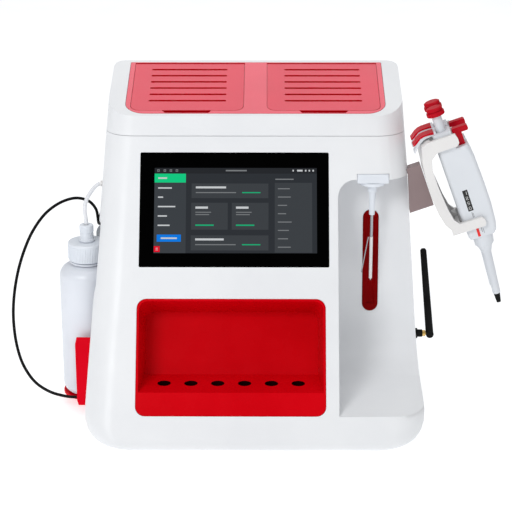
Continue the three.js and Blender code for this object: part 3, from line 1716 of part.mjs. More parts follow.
// Cradle: three C-shaped cheeks on a curved spine, with a rest behind each pipette
function pipetteCradle() {
  const edges = [...CRADLE_OUTER, ...CRADLE_LOWER_END, ...CRADLE_INNER, ...CRADLE_UPPER_END];
  const whole = polygon(down(edges));
  const back = CRADLE.back;
  const middle = PIPETTE.firstY + PIPETTE.pitch / 2;
  const cheeks = [
    [CRADLE.front, CRADLE.front + CRADLE.cheek],
    [middle - CRADLE.mid / 2, middle + CRADLE.mid / 2],
    [back - CRADLE.cheek, back],
  ].map(([from, to]) => solid(slabY(whole, from, to)));
  const inside = CRADLE_OUTER.map(([across, drop]) => [across + CRADLE.spineWall, drop]).reverse();
  const spine = solid(slabY(polygon(down([...CRADLE_OUTER, ...inside])), CRADLE.front, back));
  const [, restTop] = CRADLE_INNER[0];
  const [, restBottom] = CRADLE_OUTER[CRADLE_OUTER.length - 1];
  const restRight = Math.min(...PIPETTE_BODY.map(([, left]) => left)) - CRADLE.restRoom;
  const rest = solid(box([CRADLE.restLeft, CRADLE.front, -restBottom], [restRight, back, -restTop]));
  return join(spine, rest, ...cheeks);
}

const pipetteTurn = new THREE.Matrix4()
  .makeTranslation(PIPETTE.x, 0, PIPETTE.z)
  .multiply(new THREE.Matrix4().makeRotationY(-rad(PIPETTE_TILT)));

// Arm between the side wall and the cradle's spine
function pipetteBracket() {
  const arm = box(
    [BRACKET.left, BRACKET.front, -BRACKET.bottom],
    [BRACKET.right, BRACKET.back, -BRACKET.top],
  );
  return cut(solid(placed(arm, pipetteTurn)), housingBlock(HOUSING.bottom, HOUSING.seam, -GAP));
}

function rearOutline(margin) {
  return roundedRect(
    2 * (REAR.halfWidth + margin),
    REAR.top - REAR.bottom + 2 * margin,
    REAR.corner,
    0,
    (REAR.top + REAR.bottom) / 2,
  );
}

const rearInside = HOUSING.back - HOUSING.wall - GAP - REAR.flangeThickness;

// Rear panel: let into the back wall from inside, with the openings for what it carries
function rearPanel() {
  const plug = slabY(rearOutline(0), rearInside, HOUSING.back);
  const flange = slabY(rearOutline(REAR.flange), rearInside, rearInside + REAR.flangeThickness);
  const slots = [];
  for (let i = 0; i < VENT.slots; i++) {
    const z = VENT.z + (i - (VENT.slots - 1) / 2) * VENT.pitch;
    const outline = roundedRect(VENT.length, VENT.width, VENT.width / 2, VENT.x, z);
    slots.push(solid(slabY(outline, rearInside - OVERRUN, HOUSING.back + OVERRUN, 2)));
  }
  const mouths = [
    [INLET.x, INLET.z, INLET.width, INLET.height],
    [ROCKER.x, ROCKER.z, ROCKER.width + 2 * rockerTube, ROCKER.height + 2 * rockerTube],
    [PORTS.x, PORTS.z, PORTS.width, PORTS.height],
  ].map(([x, z, width, height]) => {
    const [w, h] = [width / 2 + FIT, height / 2 + FIT];
    return solid(box([x - w, rearInside - OVERRUN, z - h], [x + w, HOUSING.back + OVERRUN, z + h]));
  });
  return cut(join(solid(plug), solid(flange)), ...slots, ...mouths);
}

// Power inlet: a flanged socket with three pins
function powerInlet() {
  const outside = HOUSING.back + GAP;
  const [w, h] = [INLET.width / 2, INLET.height / 2];
  const floor = outside + INLET.flangeThickness - INLET.recessDepth;
  const body = box([-w, floor - INLET.flangeThickness, -h], [w, outside + SINK, h]);
  const flange = slabY(
    roundedRect(INLET.flangeWidth, INLET.flangeHeight, INLET.flangeThickness),
    outside,
    outside + INLET.flangeThickness,
    2,
  );
  const recess = slabY(
    roundedRect(INLET.recessWidth, INLET.recessHeight, [INLET.pinWidth / 2, INLET.pinHeight]),
    floor,
    outside + OVERRUN,
    1,
  );
  const pins = [-1, 0, 1].map((i) => {
    const z = i === 0 ? INLET.pinRise : -INLET.pinRise / 2;
    return solid(
      box(
        [i * INLET.pinPitch - INLET.pinWidth / 2, floor - SINK, z - INLET.pinHeight / 2],
        [i * INLET.pinPitch + INLET.pinWidth / 2, floor + INLET.pinLength, z + INLET.pinHeight / 2],
      ),
    );
  });
  const made = join(cut(join(solid(body), solid(flange)), solid(recess)), ...pins);
  return made.translate([INLET.x, 0, INLET.z]);
}

const rockerTube = ROCKER.margin + ROCKER.bezel / 2;

// Bezel of the power switch: a flange on a short tube that carries the rocker's stub pins
function switchBezel() {
  const outside = HOUSING.back + GAP;
  const margin = ROCKER.margin;
  const outline = (grown) => roundedRect(ROCKER.width + 2 * grown, ROCKER.height + 2 * grown, margin);
  const tube = slabY(outline(rockerTube), outside - ROCKER.depth - margin, outside + SINK, 2);
  const flange = slabY(outline(rockerTube + ROCKER.bezel), outside, outside + ROCKER.bezelThickness, 2);
  const mouth = slabY(outline(margin), outside - OVERRUN, outside + OVERRUN, 2);
  const reach = ROCKER.width / 2 + margin + ROCKER.pinReach + GAP;
  const holes = rod("x", [rockerY, 0], -reach, reach, ROCKER.pin + GAP, ROUND.small);
  const made = cut(join(solid(tube), solid(flange)), solid(mouth), solid(holes));
  return made.translate([ROCKER.x, 0, ROCKER.z]);
}

const rockerY = HOUSING.back + GAP - ROCKER.pivotDepth;

// Rocker about its pins, resting with its lower half pressed in
function powerRocker() {
  const [half, high] = [ROCKER.width / 2, ROCKER.height / 2];
  const face = ROCKER.pivotDepth + ROCKER.rise;
  const paddle = slabX(
    polygon([
      [0, -high],
      [face, -high],
      [face - ROCKER.rise / 2, 0],
      [face, high],
      [0, high],
      [-ROCKER.depth / 2, high / 3],
      [-ROCKER.depth / 2, -high / 3],
    ]),
    -half,
    half,
  );
  const reach = half + ROCKER.margin + ROCKER.pinReach;
  const pins = rod("x", [0, 0], -reach, reach, ROCKER.pin, ROUND.small);
  const turn = new THREE.Matrix4().makeRotationX(rad(ROCKER.throw / 2));
  return join(solid(placed(paddle, turn)), solid(placed(pins, turn)));
}

function portBlock() {
  const [w, h] = [PORTS.width / 2, PORTS.height / 2];
  const body = box(
    [PORTS.x - w, HOUSING.back - PORTS.depth, PORTS.z - h],
    [PORTS.x + w, HOUSING.back, PORTS.z + h],
  );
  const recesses = [];
  for (let i = 0; i < PORTS.count; i++) {
    const x = PORTS.x + (i - (PORTS.count - 1) / 2) * PORTS.pitch;
    const [rw, rh] = [PORTS.recessWidth / 2, PORTS.recessHeight / 2];
    recesses.push(
      solid(
        box(
          [x - rw, HOUSING.back - PORTS.recessDepth, PORTS.z - rh],
          [x + rw, HOUSING.back + OVERRUN, PORTS.z + rh],
        ),
      ),
    );
  }
  return cut(solid(body), ...recesses);
}

function fanFrame() {
  const half = FAN.side / 2;
  const front = fanY - FAN.depth;
  const frame = solid(box([-half, front, -half], [half, fanY, half]));
  const bore = solid(rod("y", [0, 0], front - OVERRUN, fanY + OVERRUN, FAN.bore, ROUND.large));
  const hub = solid(rod("y", [0, 0], fanY - FAN.back, fanY, FAN.hub, ROUND.medium));
  const axle = solid(rod("y", [0, 0], front + FAN.back, fanY - FAN.back + SINK, FAN.axle, ROUND.small));
  const spokes = [];
  for (let i = 0; i < FAN.spokes; i++) {
    const side = FAN.spokeWidth / 2;
    const spoke = box([0, fanY - FAN.back, -side], [FAN.bore + SINK, fanY, side]);
    spokes.push(solid(spoke.rotateY((2 * Math.PI * i) / FAN.spokes)));
  }
  return join(cut(frame, bore), hub, axle, ...spokes).translate([VENT.x, 0, VENT.z]);
}

const fanY = rearInside - GAP;

function fanRotor() {
  const [from, to] = [-FAN.rotorDepth, 0];
  const middle = (from + to) / 2;
  const hub = solid(rod("y", [0, 0], from, to, FAN.rotorHub, ROUND.medium));
  const bore = solid(rod("y", [0, 0], from - OVERRUN, to + OVERRUN, FAN.axle + GAP, ROUND.small));
  const blades = [];
  for (let i = 0; i < FAN.blades; i++) {
    const [h, t] = [FAN.bladeChord / 2, FAN.bladeThickness / 2];
    const blade = box([FAN.rotorHub - 2 * SINK, -t, -h], [FAN.bladeReach, t, h])
      .rotateX(rad(FAN.bladePitch))
      .translate(0, middle, 0)
      .rotateY((2 * Math.PI * i) / FAN.blades);
    blades.push(solid(blade));
  }
  return cut(join(hub, ...blades), bore);
}

// Floor plate: lies inside on the ledge round the shell's open bottom
const baseBottom = HOUSING.bottom + HOUSING.wall + GAP;
const baseTop = baseBottom + BASE.thickness;

function basePlate() {
  const ring = housingRing(baseBottom, HOUSING.wall + BASE.clearance, 0);
  const plate = loft([ring, ring.map(([x, y]) => [x, y, baseTop])]);
  return cut(solid(plate), nicheBlock(HOUSING.wall + BASE.clearance));
}

function foot() {
  return turned(
    [
      [0, -FOOT.height],
      [FOOT.radius - FOOT.round, -FOOT.height],
      [FOOT.radius, -FOOT.height + FOOT.round],
      [FOOT.radius, baseBottom - GAP],
      [0, baseBottom - GAP],
    ],
    ROUND.medium,
  );
}

function mainBoard() {
  const { left, right, bottom, top, y, thickness, postInset } = BOARD;
  const pieces = [];
  for (const x of [left + postInset, right - postInset]) {
    for (const z of [bottom + postInset, top - postInset]) {
      pieces.push(solid(rod("y", [x, z], y + thickness - SINK, rearInside - GAP, BOARD.post, ROUND.tiny)));
    }
  }
  const middle = (left + right) / 2;
  const centre = (bottom + top) / 2;
  const half = BOARD.chip / 2;
  pieces.push(
    solid(
      box([middle - half, y - BOARD.chipHeight, centre - half], [middle + half, y + SINK, centre + half]),
    ),
    solid(
      box(
        [middle - BOARD.header / 2, y - BOARD.headerHeight, bottom + 2 * postInset],
        [middle + BOARD.header / 2, y + SINK, bottom + 2 * postInset + BOARD.headerWidth],
      ),
    ),
  );
  return join(solid(box([left, y, bottom], [right, y + thickness, top])), ...pieces);
}

function powerSupply() {
  const { left, right, front, back, height, flange, flangeThickness } = SUPPLY;
  const bottom = baseTop + GAP;
  const body = box([left, front, bottom], [right, back, bottom + height]);
  const feet = box(
    [left - flange, front + flange, bottom],
    [right + flange, back - flange, bottom + flangeThickness],
  );
  return join(solid(body), solid(feet));
}

const headY = PUMP.motorFront - GAP;

function pumpMotor() {
  const bottom = baseTop + GAP;
  const body = box(
    [PUMP.x - PUMP.motorHalf, PUMP.motorFront, PUMP.z - PUMP.motorHalf],
    [PUMP.x + PUMP.motorHalf, PUMP.motorBack, PUMP.z + PUMP.motorHalf],
  );
  const pedestal = box(
    [PUMP.x - PUMP.footHalf, PUMP.motorFront, bottom],
    [PUMP.x + PUMP.footHalf, PUMP.motorBack, PUMP.z],
  );
  const bore = rod(
    "y",
    [PUMP.x, PUMP.z],
    PUMP.motorFront - OVERRUN,
    PUMP.motorFront + PUMP.shaftReach + GAP,
    PUMP.shaftBore,
    ROUND.small,
  );
  return cut(join(solid(body), solid(pedestal)), solid(bore));
}

function pumpHead() {
  const centre = [PUMP.x, PUMP.z];
  const front = headY - PUMP.headDepth;
  const cup = rod("y", centre, front, headY, PUMP.headRadius, ROUND.large);
  const hollow = rod("y", centre, front - OVERRUN, headY - PUMP.headBack, PUMP.headBore, ROUND.large);
  const hole = rod("y", centre, front, headY + OVERRUN, PUMP.shaftBore, ROUND.small);
  return cut(solid(cup), solid(hollow), solid(hole));
}

// Rotor about the shaft's axis, its back face at y = 0: disc, three rollers and a shaft
function pumpRotor() {
  const disc = PUMP.rollerCentre + PUMP.rollerRadius;
  const pieces = [
    solid(rod("y", [0, 0], -PUMP.rotorDepth, 0, PUMP.hub, ROUND.medium)),
    solid(rod("y", [0, 0], -PUMP.hub, PUMP.headBack + PUMP.shaftReach, PUMP.shaft, ROUND.small)),
  ];
  for (let i = 0; i < PUMP.rollers; i++) {
    const angle = (2 * Math.PI * i) / PUMP.rollers;
    const centre = [PUMP.rollerCentre * Math.cos(angle), PUMP.rollerCentre * Math.sin(angle)];
    pieces.push(solid(rod("y", centre, -PUMP.rotorDepth, 0, PUMP.rollerRadius, ROUND.small)));
  }
  return join(solid(rod("y", [0, 0], -PUMP.shaft, 0, disc, ROUND.large)), ...pieces);
}

function photometerBlock() {
  const { left, right, front, back, height } = PHOTOMETER;
  const bottom = baseTop + GAP;
  const middle = (left + right) / 2;
  const lens = rod(
    "y",
    [middle, bottom + height / 2],
    front - PHOTOMETER.lensReach,
    front + SINK,
    PHOTOMETER.lens,
    ROUND.medium,
  );
  const lamp = rod(
    "z",
    [middle, (front + back) / 2],
    bottom + height - SINK,
    bottom + height + PHOTOMETER.lampRise,
    PHOTOMETER.lamp,
    ROUND.medium,
  );
  return join(solid(box([left, front, bottom], [right, back, bottom + height])), solid(lens), solid(lamp));
}

// Housing
addPiece(housing, "main_shell", mainShell(), white);
addPiece(housing, "top_cover", topCover(), white);
addPiece(deck, "lid_deck", lidDeck(), deckRed);
for (const [side, name] of [
  [-1, "left"],
  [1, "right"],
]) {
  const hinge = addGroup(deck, side * LID.centre, hingeD, -LID.barrel);
  addPiece(hinge, "lid_" + name, lid(), deckRed);
  const reach = LID.width / 2 + LID.pinReach;
  addPiece(hinge, "lid_pin_" + name, rod("x", [0, 0], -reach, reach, LID.pin, ROUND.tiny), steel);
  const tub = addGroup(deck, side * LID.centre, 0, 0);
  addPiece(tub, "reagent_pack_" + name, reagentPack(), translucent);
}
addPiece(housing, "rear_panel", rearPanel(), white);
addPiece(housing, "base_plate", basePlate(), zinc);
for (const [x, end, y] of [
  [-1, "front", FOOT.frontY],
  [1, "front", FOOT.frontY],
  [-1, "rear", FOOT.backY],
  [1, "rear", FOOT.backY],
]) {
  const place = addGroup(housing, x * FOOT.x, y, 0);
  addPiece(place, `foot_${end}_${x < 0 ? "left" : "right"}`, foot(), rubber);
}

// Front
const glassOutline = roundedRect(SCREEN.width, SCREEN.height, SCREEN.corner, SCREEN.x, screenMiddle);
addPiece(face, "touch_glass", slab(glassOutline, -SCREEN.glass, 0, 2), glassBlack);
addPiece(face, "display_panel", displayPanel(), blackPlastic);
addPiece(housing, "tube_tray", tubeTray(), trayRed);
const wall = addGroup(housing, 0, 0, 0);
wall.applyMatrix4(keyMatrix);
addPiece(wall, "aspirate_key", aspirateKey(), keyRed);
addPiece(wall, "key_switch", keySwitch(), blackPlastic);
addPiece(housing, "sipper_block", sipperBlock(), white);
const needle = addGroup(housing, SIPPER.x, SIPPER.y, 0);
addPiece(needle, "sipper_nozzle", sipperNozzle(), warmWhite);
addPiece(needle, "sample_probe", sampleProbe(), steel);
addPiece(needle, "probe_sleeve", probeSleeve(), warmWhite);
addPiece(housing, "capillary", capillary(), steel);

// Inside and rear
addPiece(housing, "photometer_block", photometerBlock(), greyPlastic);
addPiece(housing, "pump_head", pumpHead(), greyPlastic);
const pumpAxis = addGroup(housing, PUMP.x, headY - PUMP.headBack - GAP, PUMP.z);
addPiece(pumpAxis, "pump_rotor", pumpRotor(), translucent);
addPiece(housing, "pump_motor", pumpMotor(), zinc);
addPiece(housing, "main_board", mainBoard(), circuitGreen);
addPiece(housing, "power_supply", powerSupply(), zinc);
addPiece(housing, "fan_frame", fanFrame(), blackPlastic);
const fanAxis = addGroup(housing, VENT.x, fanY - FAN.back - GAP, VENT.z);
addPiece(fanAxis, "fan_rotor", fanRotor(), blackPlastic);
addPiece(housing, "power_inlet", powerInlet(), blackPlastic);
addPiece(housing, "switch_bezel", switchBezel(), blackPlastic);
const rockerAxis = addGroup(housing, ROCKER.x, rockerY, ROCKER.z);
addPiece(rockerAxis, "power_switch", powerRocker(), blackPlastic);
addPiece(housing, "port_block", portBlock(), blackPlastic);

// Left side
addPiece(housing, "bottle_holder", bottleHolder(), holderRed);
addPiece(housing, "holder_backplate", holderBackplate(), greyPlastic);
const station = addGroup(housing, STATION.x, STATION.y, 0);
addPiece(station, "reagent_bottle", reagentBottle(), translucent);
addPiece(station, "bottle_cap", bottleCap(), warmWhite);
addPiece(station, "cap_gland", capGland(), warmWhite);
addPiece(station, "dip_tube", rod("z", [0, 0], DIP.bottom, GLAND.top, DIP.radius, ROUND.tiny), warmWhite);
addPiece(housing, "reagent_tube", cord(REAGENT_TUBE, TUBE_SIDES, TUBE_STEPS), warmWhite);
addPiece(housing, "tube_fitting", tubeFitting(), warmWhite);
addPiece(housing, "sensor_cable", cord(SENSOR_CABLE, CABLE_SIDES, CABLE_STEPS), blackPlastic);
addPiece(housing, "sensor_plug", sensorPlug(), blackPlastic);
addPiece(housing, "sensor_socket", sensorSocket(), blackPlastic);

// Right side
addPiece(housing, "antenna_connector", antennaConnector(), brass);
const swivel = addGroup(housing, swivelX, ANTENNA.y, ANTENNA.z);
addPiece(swivel, "antenna_base", antennaBase(), brass);
const fold = addGroup(swivel, foldX - swivelX, 0, 0);
addPiece(fold, "antenna_rod", antennaRod(), rubber);
addPiece(housing, "pipette_bracket", pipetteBracket(), mauve);
const pipettes = addGroup(housing, 0, 0, 0);
pipettes.applyMatrix4(pipetteTurn);
addPiece(pipettes, "pipette_cradle", pipetteCradle(), warmWhite);
["a", "b"].forEach((letter, i) => {
  const pipette = addGroup(pipettes, 0, PIPETTE.firstY + i * PIPETTE.pitch, 0);
  addPiece(pipette, `pipette_${letter}_body`, pipetteBody(), pipetteGrey);
  addPiece(pipette, `pipette_${letter}_plunger`, pipettePlunger(), pipetteRed);
  addPiece(pipette, `pipette_${letter}_ejector`, pipetteEjector(), pipetteRed);
});

// Origin at the middle of the underside, measured without the cords
analyzer.updateMatrixWorld(true);
const bounds = new THREE.Box3();
analyzer.traverse((item) => {
  const isCord = ["reagent_tube", "sensor_cable"].includes(item.name);
  if (item.isMesh && !isCord) bounds.expandByObject(item, true);
});
housing.position.x -= (bounds.min.x + bounds.max.x) / 2;
housing.position.y -= (bounds.min.y + bounds.max.y) / 2;
housing.position.z -= bounds.min.z;

export default analyzer;
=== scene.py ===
# %% [markdown]
# # A bench-top biochemistry analyzer
# This lesson dresses a solid model of a laboratory instrument: a white moulded housing with a
# sloping touch screen, a red tube tray, a sample bay with a needle, two slotted red lids, a
# reagent bottle, an antenna and two hanging pipettes. The solid model gives every place and
# size. Blender adds rounded edges, small parts, finishes and light.

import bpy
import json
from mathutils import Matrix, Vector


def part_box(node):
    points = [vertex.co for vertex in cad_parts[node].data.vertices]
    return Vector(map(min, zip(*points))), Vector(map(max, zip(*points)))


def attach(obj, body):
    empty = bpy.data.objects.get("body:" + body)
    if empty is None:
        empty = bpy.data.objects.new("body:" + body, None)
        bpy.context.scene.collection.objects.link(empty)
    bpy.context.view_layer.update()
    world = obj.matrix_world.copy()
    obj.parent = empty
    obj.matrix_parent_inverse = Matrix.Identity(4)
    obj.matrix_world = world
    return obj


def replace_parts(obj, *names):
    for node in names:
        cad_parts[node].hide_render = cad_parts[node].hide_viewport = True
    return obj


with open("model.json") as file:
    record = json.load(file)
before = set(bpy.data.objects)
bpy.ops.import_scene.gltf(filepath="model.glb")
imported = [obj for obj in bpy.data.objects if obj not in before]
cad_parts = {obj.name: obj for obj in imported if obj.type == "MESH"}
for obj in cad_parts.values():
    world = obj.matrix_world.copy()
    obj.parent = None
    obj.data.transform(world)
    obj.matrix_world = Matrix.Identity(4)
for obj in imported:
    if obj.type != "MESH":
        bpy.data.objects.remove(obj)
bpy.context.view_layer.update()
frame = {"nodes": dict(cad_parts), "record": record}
nodes = frame["nodes"]
record = frame["record"]

# %% Libraries and units
import json
import math

import bmesh
import bpy
import numpy as np
from mathutils import Matrix, Vector

scene = bpy.context.scene
MM = 0.001
print("one millimetre is", MM, "of the scene's units")

# %% [markdown]
# ## Where things are
# The housing was drawn from the middle of its front bottom edge. The feet tell where that point
# lies in the model. Three more frames make places easy to give in millimetres: one lies on the
# front face, one on the sloping deck, and one follows the tilt of the hanging pipettes. A frame is
# a matrix, so a piece can be drawn flat and upright in it and still come out leaning.

# %% Frames of the housing
left_low, left_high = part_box("foot_front_left")
right_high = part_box("foot_front_right")[1]
FOOT_Y, FLOOR_DROP = 42 * MM, 6 * MM
ORIGIN = Vector(
    (
        (left_low.x + right_high.x) / 2,
        (left_low.y + left_high.y) / 2 - FOOT_Y,
        left_low.z + FLOOR_DROP,
    )
)
HOUSING = Matrix.Translation(ORIGIN)


def leaning_frame(start, degrees, axis):
    turned_by = Matrix.Rotation(math.radians(degrees), 4, axis)
    return HOUSING @ Matrix.Translation(Vector(start) * MM) @ turned_by


FACE = leaning_frame((0, 0, 0), 60, "X")
DECK = leaning_frame((0, 183.424, 317.7), 17, "X")
PIPETTES = leaning_frame((192, 0, 339.5), -19.5, "Y")
print("housing origin in the model:", [round(v, 4) for v in ORIGIN])

# %% [markdown]
# ## Camera
# The camera stands about 1.6 m in front and looks 19 degrees down through a long lens, so the
# instrument shows little perspective. The lens suits a square picture of 512 by 512 pixels. Its
# three directions are worked out from the angles and set as one matrix, which keeps the small roll.

# %% Camera
CAMERA_PLACE = Vector((13.91, -1585.08, 763.58)) * MM
CAMERA_TURN, CAMERA_DOWN, CAMERA_ROLL = (math.radians(a) for a in (0.427, 19.0, -0.056))
SENSOR_WIDTH, PICTURE_WIDTH, FOCAL_PIXELS = 36, 512, 1650
sight = Vector(
    (
        -math.sin(CAMERA_TURN) * math.cos(CAMERA_DOWN),
        math.cos(CAMERA_TURN) * math.cos(CAMERA_DOWN),
        -math.sin(CAMERA_DOWN),
    )
)
level = Vector((math.cos(CAMERA_TURN), math.sin(CAMERA_TURN), 0))
upright = level.cross(sight)
across = level * math.cos(CAMERA_ROLL) + upright * math.sin(CAMERA_ROLL)
upward = upright * math.cos(CAMERA_ROLL) - level * math.sin(CAMERA_ROLL)
camera_data = bpy.data.cameras.new("camera")
camera_data.sensor_width = SENSOR_WIDTH
camera_data.lens = SENSOR_WIDTH * FOCAL_PIXELS / PICTURE_WIDTH
camera_data.clip_start, camera_data.clip_end = 0.05, 50
camera = bpy.data.objects.new("camera", camera_data)
scene.collection.objects.link(camera)
turn = Matrix((across, upward, -sight)).transposed().to_4x4()
camera.matrix_world = Matrix.Translation(ORIGIN + CAMERA_PLACE) @ turn
scene.camera = camera
print("camera lens:", round(camera_data.lens, 1), "mm")

# %% [markdown]
# ## Floor and light
# The object stands on a plain pale floor under soft studio light. A panel from the upper left
# gives the recesses their shadow side. A panel high behind the object shines in the glossy red
# deck, which leans so that the camera sees that panel in it. The world fills the rest. Area lamps
# are used throughout, because their size sets how soft a shadow's edge is.


# %% Floor
def linked(name, data):
    made = bpy.data.objects.new(name, data)
    scene.collection.objects.link(made)
    return made


FLOOR_REACH = 9.0
floor_mesh = bpy.data.meshes.new("floor")
floor_corners = [(x * FLOOR_REACH, y * FLOOR_REACH, 0) for x, y in ((-1, -1), (1, -1), (1, 1), (-1, 1))]
floor_mesh.from_pydata(floor_corners, [], [(0, 1, 2, 3)])
linked("floor", floor_mesh)
print("floor half width:", FLOOR_REACH, "m")


# %% Lamps
MIDDLE_OF_OBJECT = Vector((0.0, 0.0, 0.18))
DAYLIGHT = (0.97, 0.985, 1.0, 1)


def panel(name, place, size, power):
    data = bpy.data.lights.new(name, "AREA")
    data.shape = "RECTANGLE"
    data.size, data.size_y = size
    data.energy = power
    lamp = linked(name, data)
    lamp.location = place
    lamp.rotation_euler = (MIDDLE_OF_OBJECT - Vector(place)).to_track_quat("-Z", "Y").to_euler()


panel("key_panel", (-1.1, -2.0, 1.65), (0.8, 0.8), 23)
panel("fill_panel", (1.9, -1.6, 0.9), (1.4, 1.4), 0.8)
panel("top_panel", (0.0, -0.2, 2.3), (1.8, 1.8), 10)
panel("deck_panel", (0.0, 1.75, 2.25), (2.6, 1.3), 10.5)
world = bpy.data.worlds.new("studio")
scene.world = world
world.use_nodes = True
surround = world.node_tree.nodes["Background"]
surround.inputs["Color"].default_value = DAYLIGHT
surround.inputs["Strength"].default_value = 0.46
scene.view_settings.view_transform = "Standard"
scene.view_settings.look = "None"

# %% [markdown]
# ## Node trees
# Two small helpers build node trees from the script: one adds a node and sets its values, the
# other makes a group with named inputs and outputs.


# %% Helpers for node trees
def put(tree, kind, values=None, **settings):
    made = tree.nodes.new(kind)
    for key, value in settings.items():
        setattr(made, key, value)
    for key, value in (values or {}).items():
        made.inputs[key].default_value = value
    return made


def new_group(name, kind, inputs, outputs):
    group = bpy.data.node_groups.new(name, kind)
    for label, socket, value in inputs:
        made = group.interface.new_socket(label, in_out="INPUT", socket_type=socket)
        if value is not None:
            made.default_value = value
    for label, socket in outputs:
        group.interface.new_socket(label, in_out="OUTPUT", socket_type=socket)
    return group, group.nodes.new("NodeGroupInput"), group.nodes.new("NodeGroupOutput")


FLOAT, COLOUR, SHAPE = "NodeSocketFloat", "NodeSocketColor", "NodeSocketGeometry"
COUNT, VECTOR, FINISH = "NodeSocketInt", "NodeSocketVector", "NodeSocketMaterial"

# %% [markdown]
# ## Moulded skin
# Moulded plastic is never one flat colour: it has a fine grain from the mould, slow changes of
# tone, and faint smudges that change its gloss. All plastics here share one group that puts out
# these three masks, and each material mixes them in its own way. Noise on Object coordinates is
# used, because it has the same scale on every piece and needs no unwrapping.

# %% Group: moulded skin
skin, skin_in, skin_out = new_group(
    "moulded skin",
    "ShaderNodeTree",
    [("Grain Scale", FLOAT, 900.0), ("Tone Scale", FLOAT, 9.0), ("Smudge Scale", FLOAT, 38.0)],
    [("Grain", FLOAT), ("Tone", FLOAT), ("Smudge", FLOAT)],
)
place = put(skin, "ShaderNodeTexCoord")
for label, detail, contrast in (("Grain", 2.0, 1.0), ("Tone", 3.0, 1.7), ("Smudge", 5.0, 2.2)):
    noise = put(skin, "ShaderNodeTexNoise", {"Detail": detail, "Roughness": 0.55})
    skin.links.new(place.outputs["Object"], noise.inputs["Vector"])
    skin.links.new(skin_in.outputs[label + " Scale"], noise.inputs["Scale"])
    reach = 0.25 / contrast
    spread = put(skin, "ShaderNodeMapRange", {"From Min": 0.5 - reach, "From Max": 0.5 + reach})
    skin.links.new(noise.outputs["Fac"], spread.inputs["Value"])
    skin.links.new(spread.outputs["Result"], skin_out.inputs[label])
print("group:", skin.name)

# %% [markdown]
# ## Brushed metal
# Turned and brushed metal has fine parallel scratches. Noise that is stretched along one axis
# gives them. The stretch is an input, so that needles and sheets can use one group.

# %% Group: brushed lines
brushed, brushed_in, brushed_out = new_group(
    "brushed lines",
    "ShaderNodeTree",
    [("Across", FLOAT, 1400.0), ("Along", FLOAT, 30.0)],
    [("Lines", FLOAT)],
)
place = put(brushed, "ShaderNodeTexCoord")
scale = put(brushed, "ShaderNodeCombineXYZ")
brushed.links.new(brushed_in.outputs["Across"], scale.inputs["X"])
brushed.links.new(brushed_in.outputs["Across"], scale.inputs["Z"])
brushed.links.new(brushed_in.outputs["Along"], scale.inputs["Y"])
stretch = put(brushed, "ShaderNodeVectorMath", operation="MULTIPLY")
brushed.links.new(place.outputs["Object"], stretch.inputs[0])
brushed.links.new(scale.outputs["Vector"], stretch.inputs[1])
noise = put(brushed, "ShaderNodeTexNoise", {"Scale": 1.0, "Detail": 3.0})
brushed.links.new(stretch.outputs["Vector"], noise.inputs["Vector"])
brushed.links.new(noise.outputs["Fac"], brushed_out.inputs["Lines"])
print("group:", brushed.name)


# %% [markdown]
# ## Plastics
# One function makes a plastic from two close colours, a range of roughness and the depth of its
# grain. Gloss that is the same all over is set on the shader's own sockets. Three small helpers
# link a mask to the shader's colour, roughness and normal, so that metals can use them too.


# %% Helpers for materials
def principled(name):
    made = bpy.data.materials.new(name)
    made.use_nodes = True
    return made, made.node_tree, made.node_tree.nodes["Principled BSDF"]


def add_tint(tree, shader, mask, dark, light):
    tint = put(tree, "ShaderNodeMix", data_type="RGBA")
    tint.inputs["A"].default_value = (*dark, 1)
    tint.inputs["B"].default_value = (*light, 1)
    tree.links.new(mask, tint.inputs["Factor"])
    tree.links.new(tint.outputs["Result"], shader.inputs["Base Color"])


def add_gloss(tree, shader, mask, roughness):
    gloss = put(tree, "ShaderNodeMapRange", {"To Min": roughness[0], "To Max": roughness[1]})
    tree.links.new(mask, gloss.inputs["Value"])
    tree.links.new(gloss.outputs["Result"], shader.inputs["Roughness"])


def add_relief(tree, shader, mask, strength, depth):
    bump = put(tree, "ShaderNodeBump", {"Strength": strength, "Distance": depth * MM})
    tree.links.new(mask, bump.inputs["Height"])
    tree.links.new(bump.outputs["Normal"], shader.inputs["Normal"])


# %% Plastic maker
def plastic(name, dark, light, roughness, grain=0.012, scale=900.0, coat=0.0, specular=0.5, see_into=0.0):
    made, tree, shader = principled(name)
    masks = put(tree, "ShaderNodeGroup", {"Grain Scale": scale}, node_tree=skin)
    add_tint(tree, shader, masks.outputs["Tone"], dark, light)
    add_gloss(tree, shader, masks.outputs["Smudge"], roughness)
    add_relief(tree, shader, masks.outputs["Grain"], 0.6, grain)
    shader.inputs["Coat Weight"].default_value = coat
    shader.inputs["Coat Roughness"].default_value = 0.12
    shader.inputs["Specular IOR Level"].default_value = specular
    shader.inputs["Subsurface Weight"].default_value = see_into
    shader.inputs["Subsurface Radius"].default_value = (1.0, 1.0, 1.0)
    shader.inputs["Subsurface Scale"].default_value = 2.5 * MM
    print("plastic:", name)
    return made


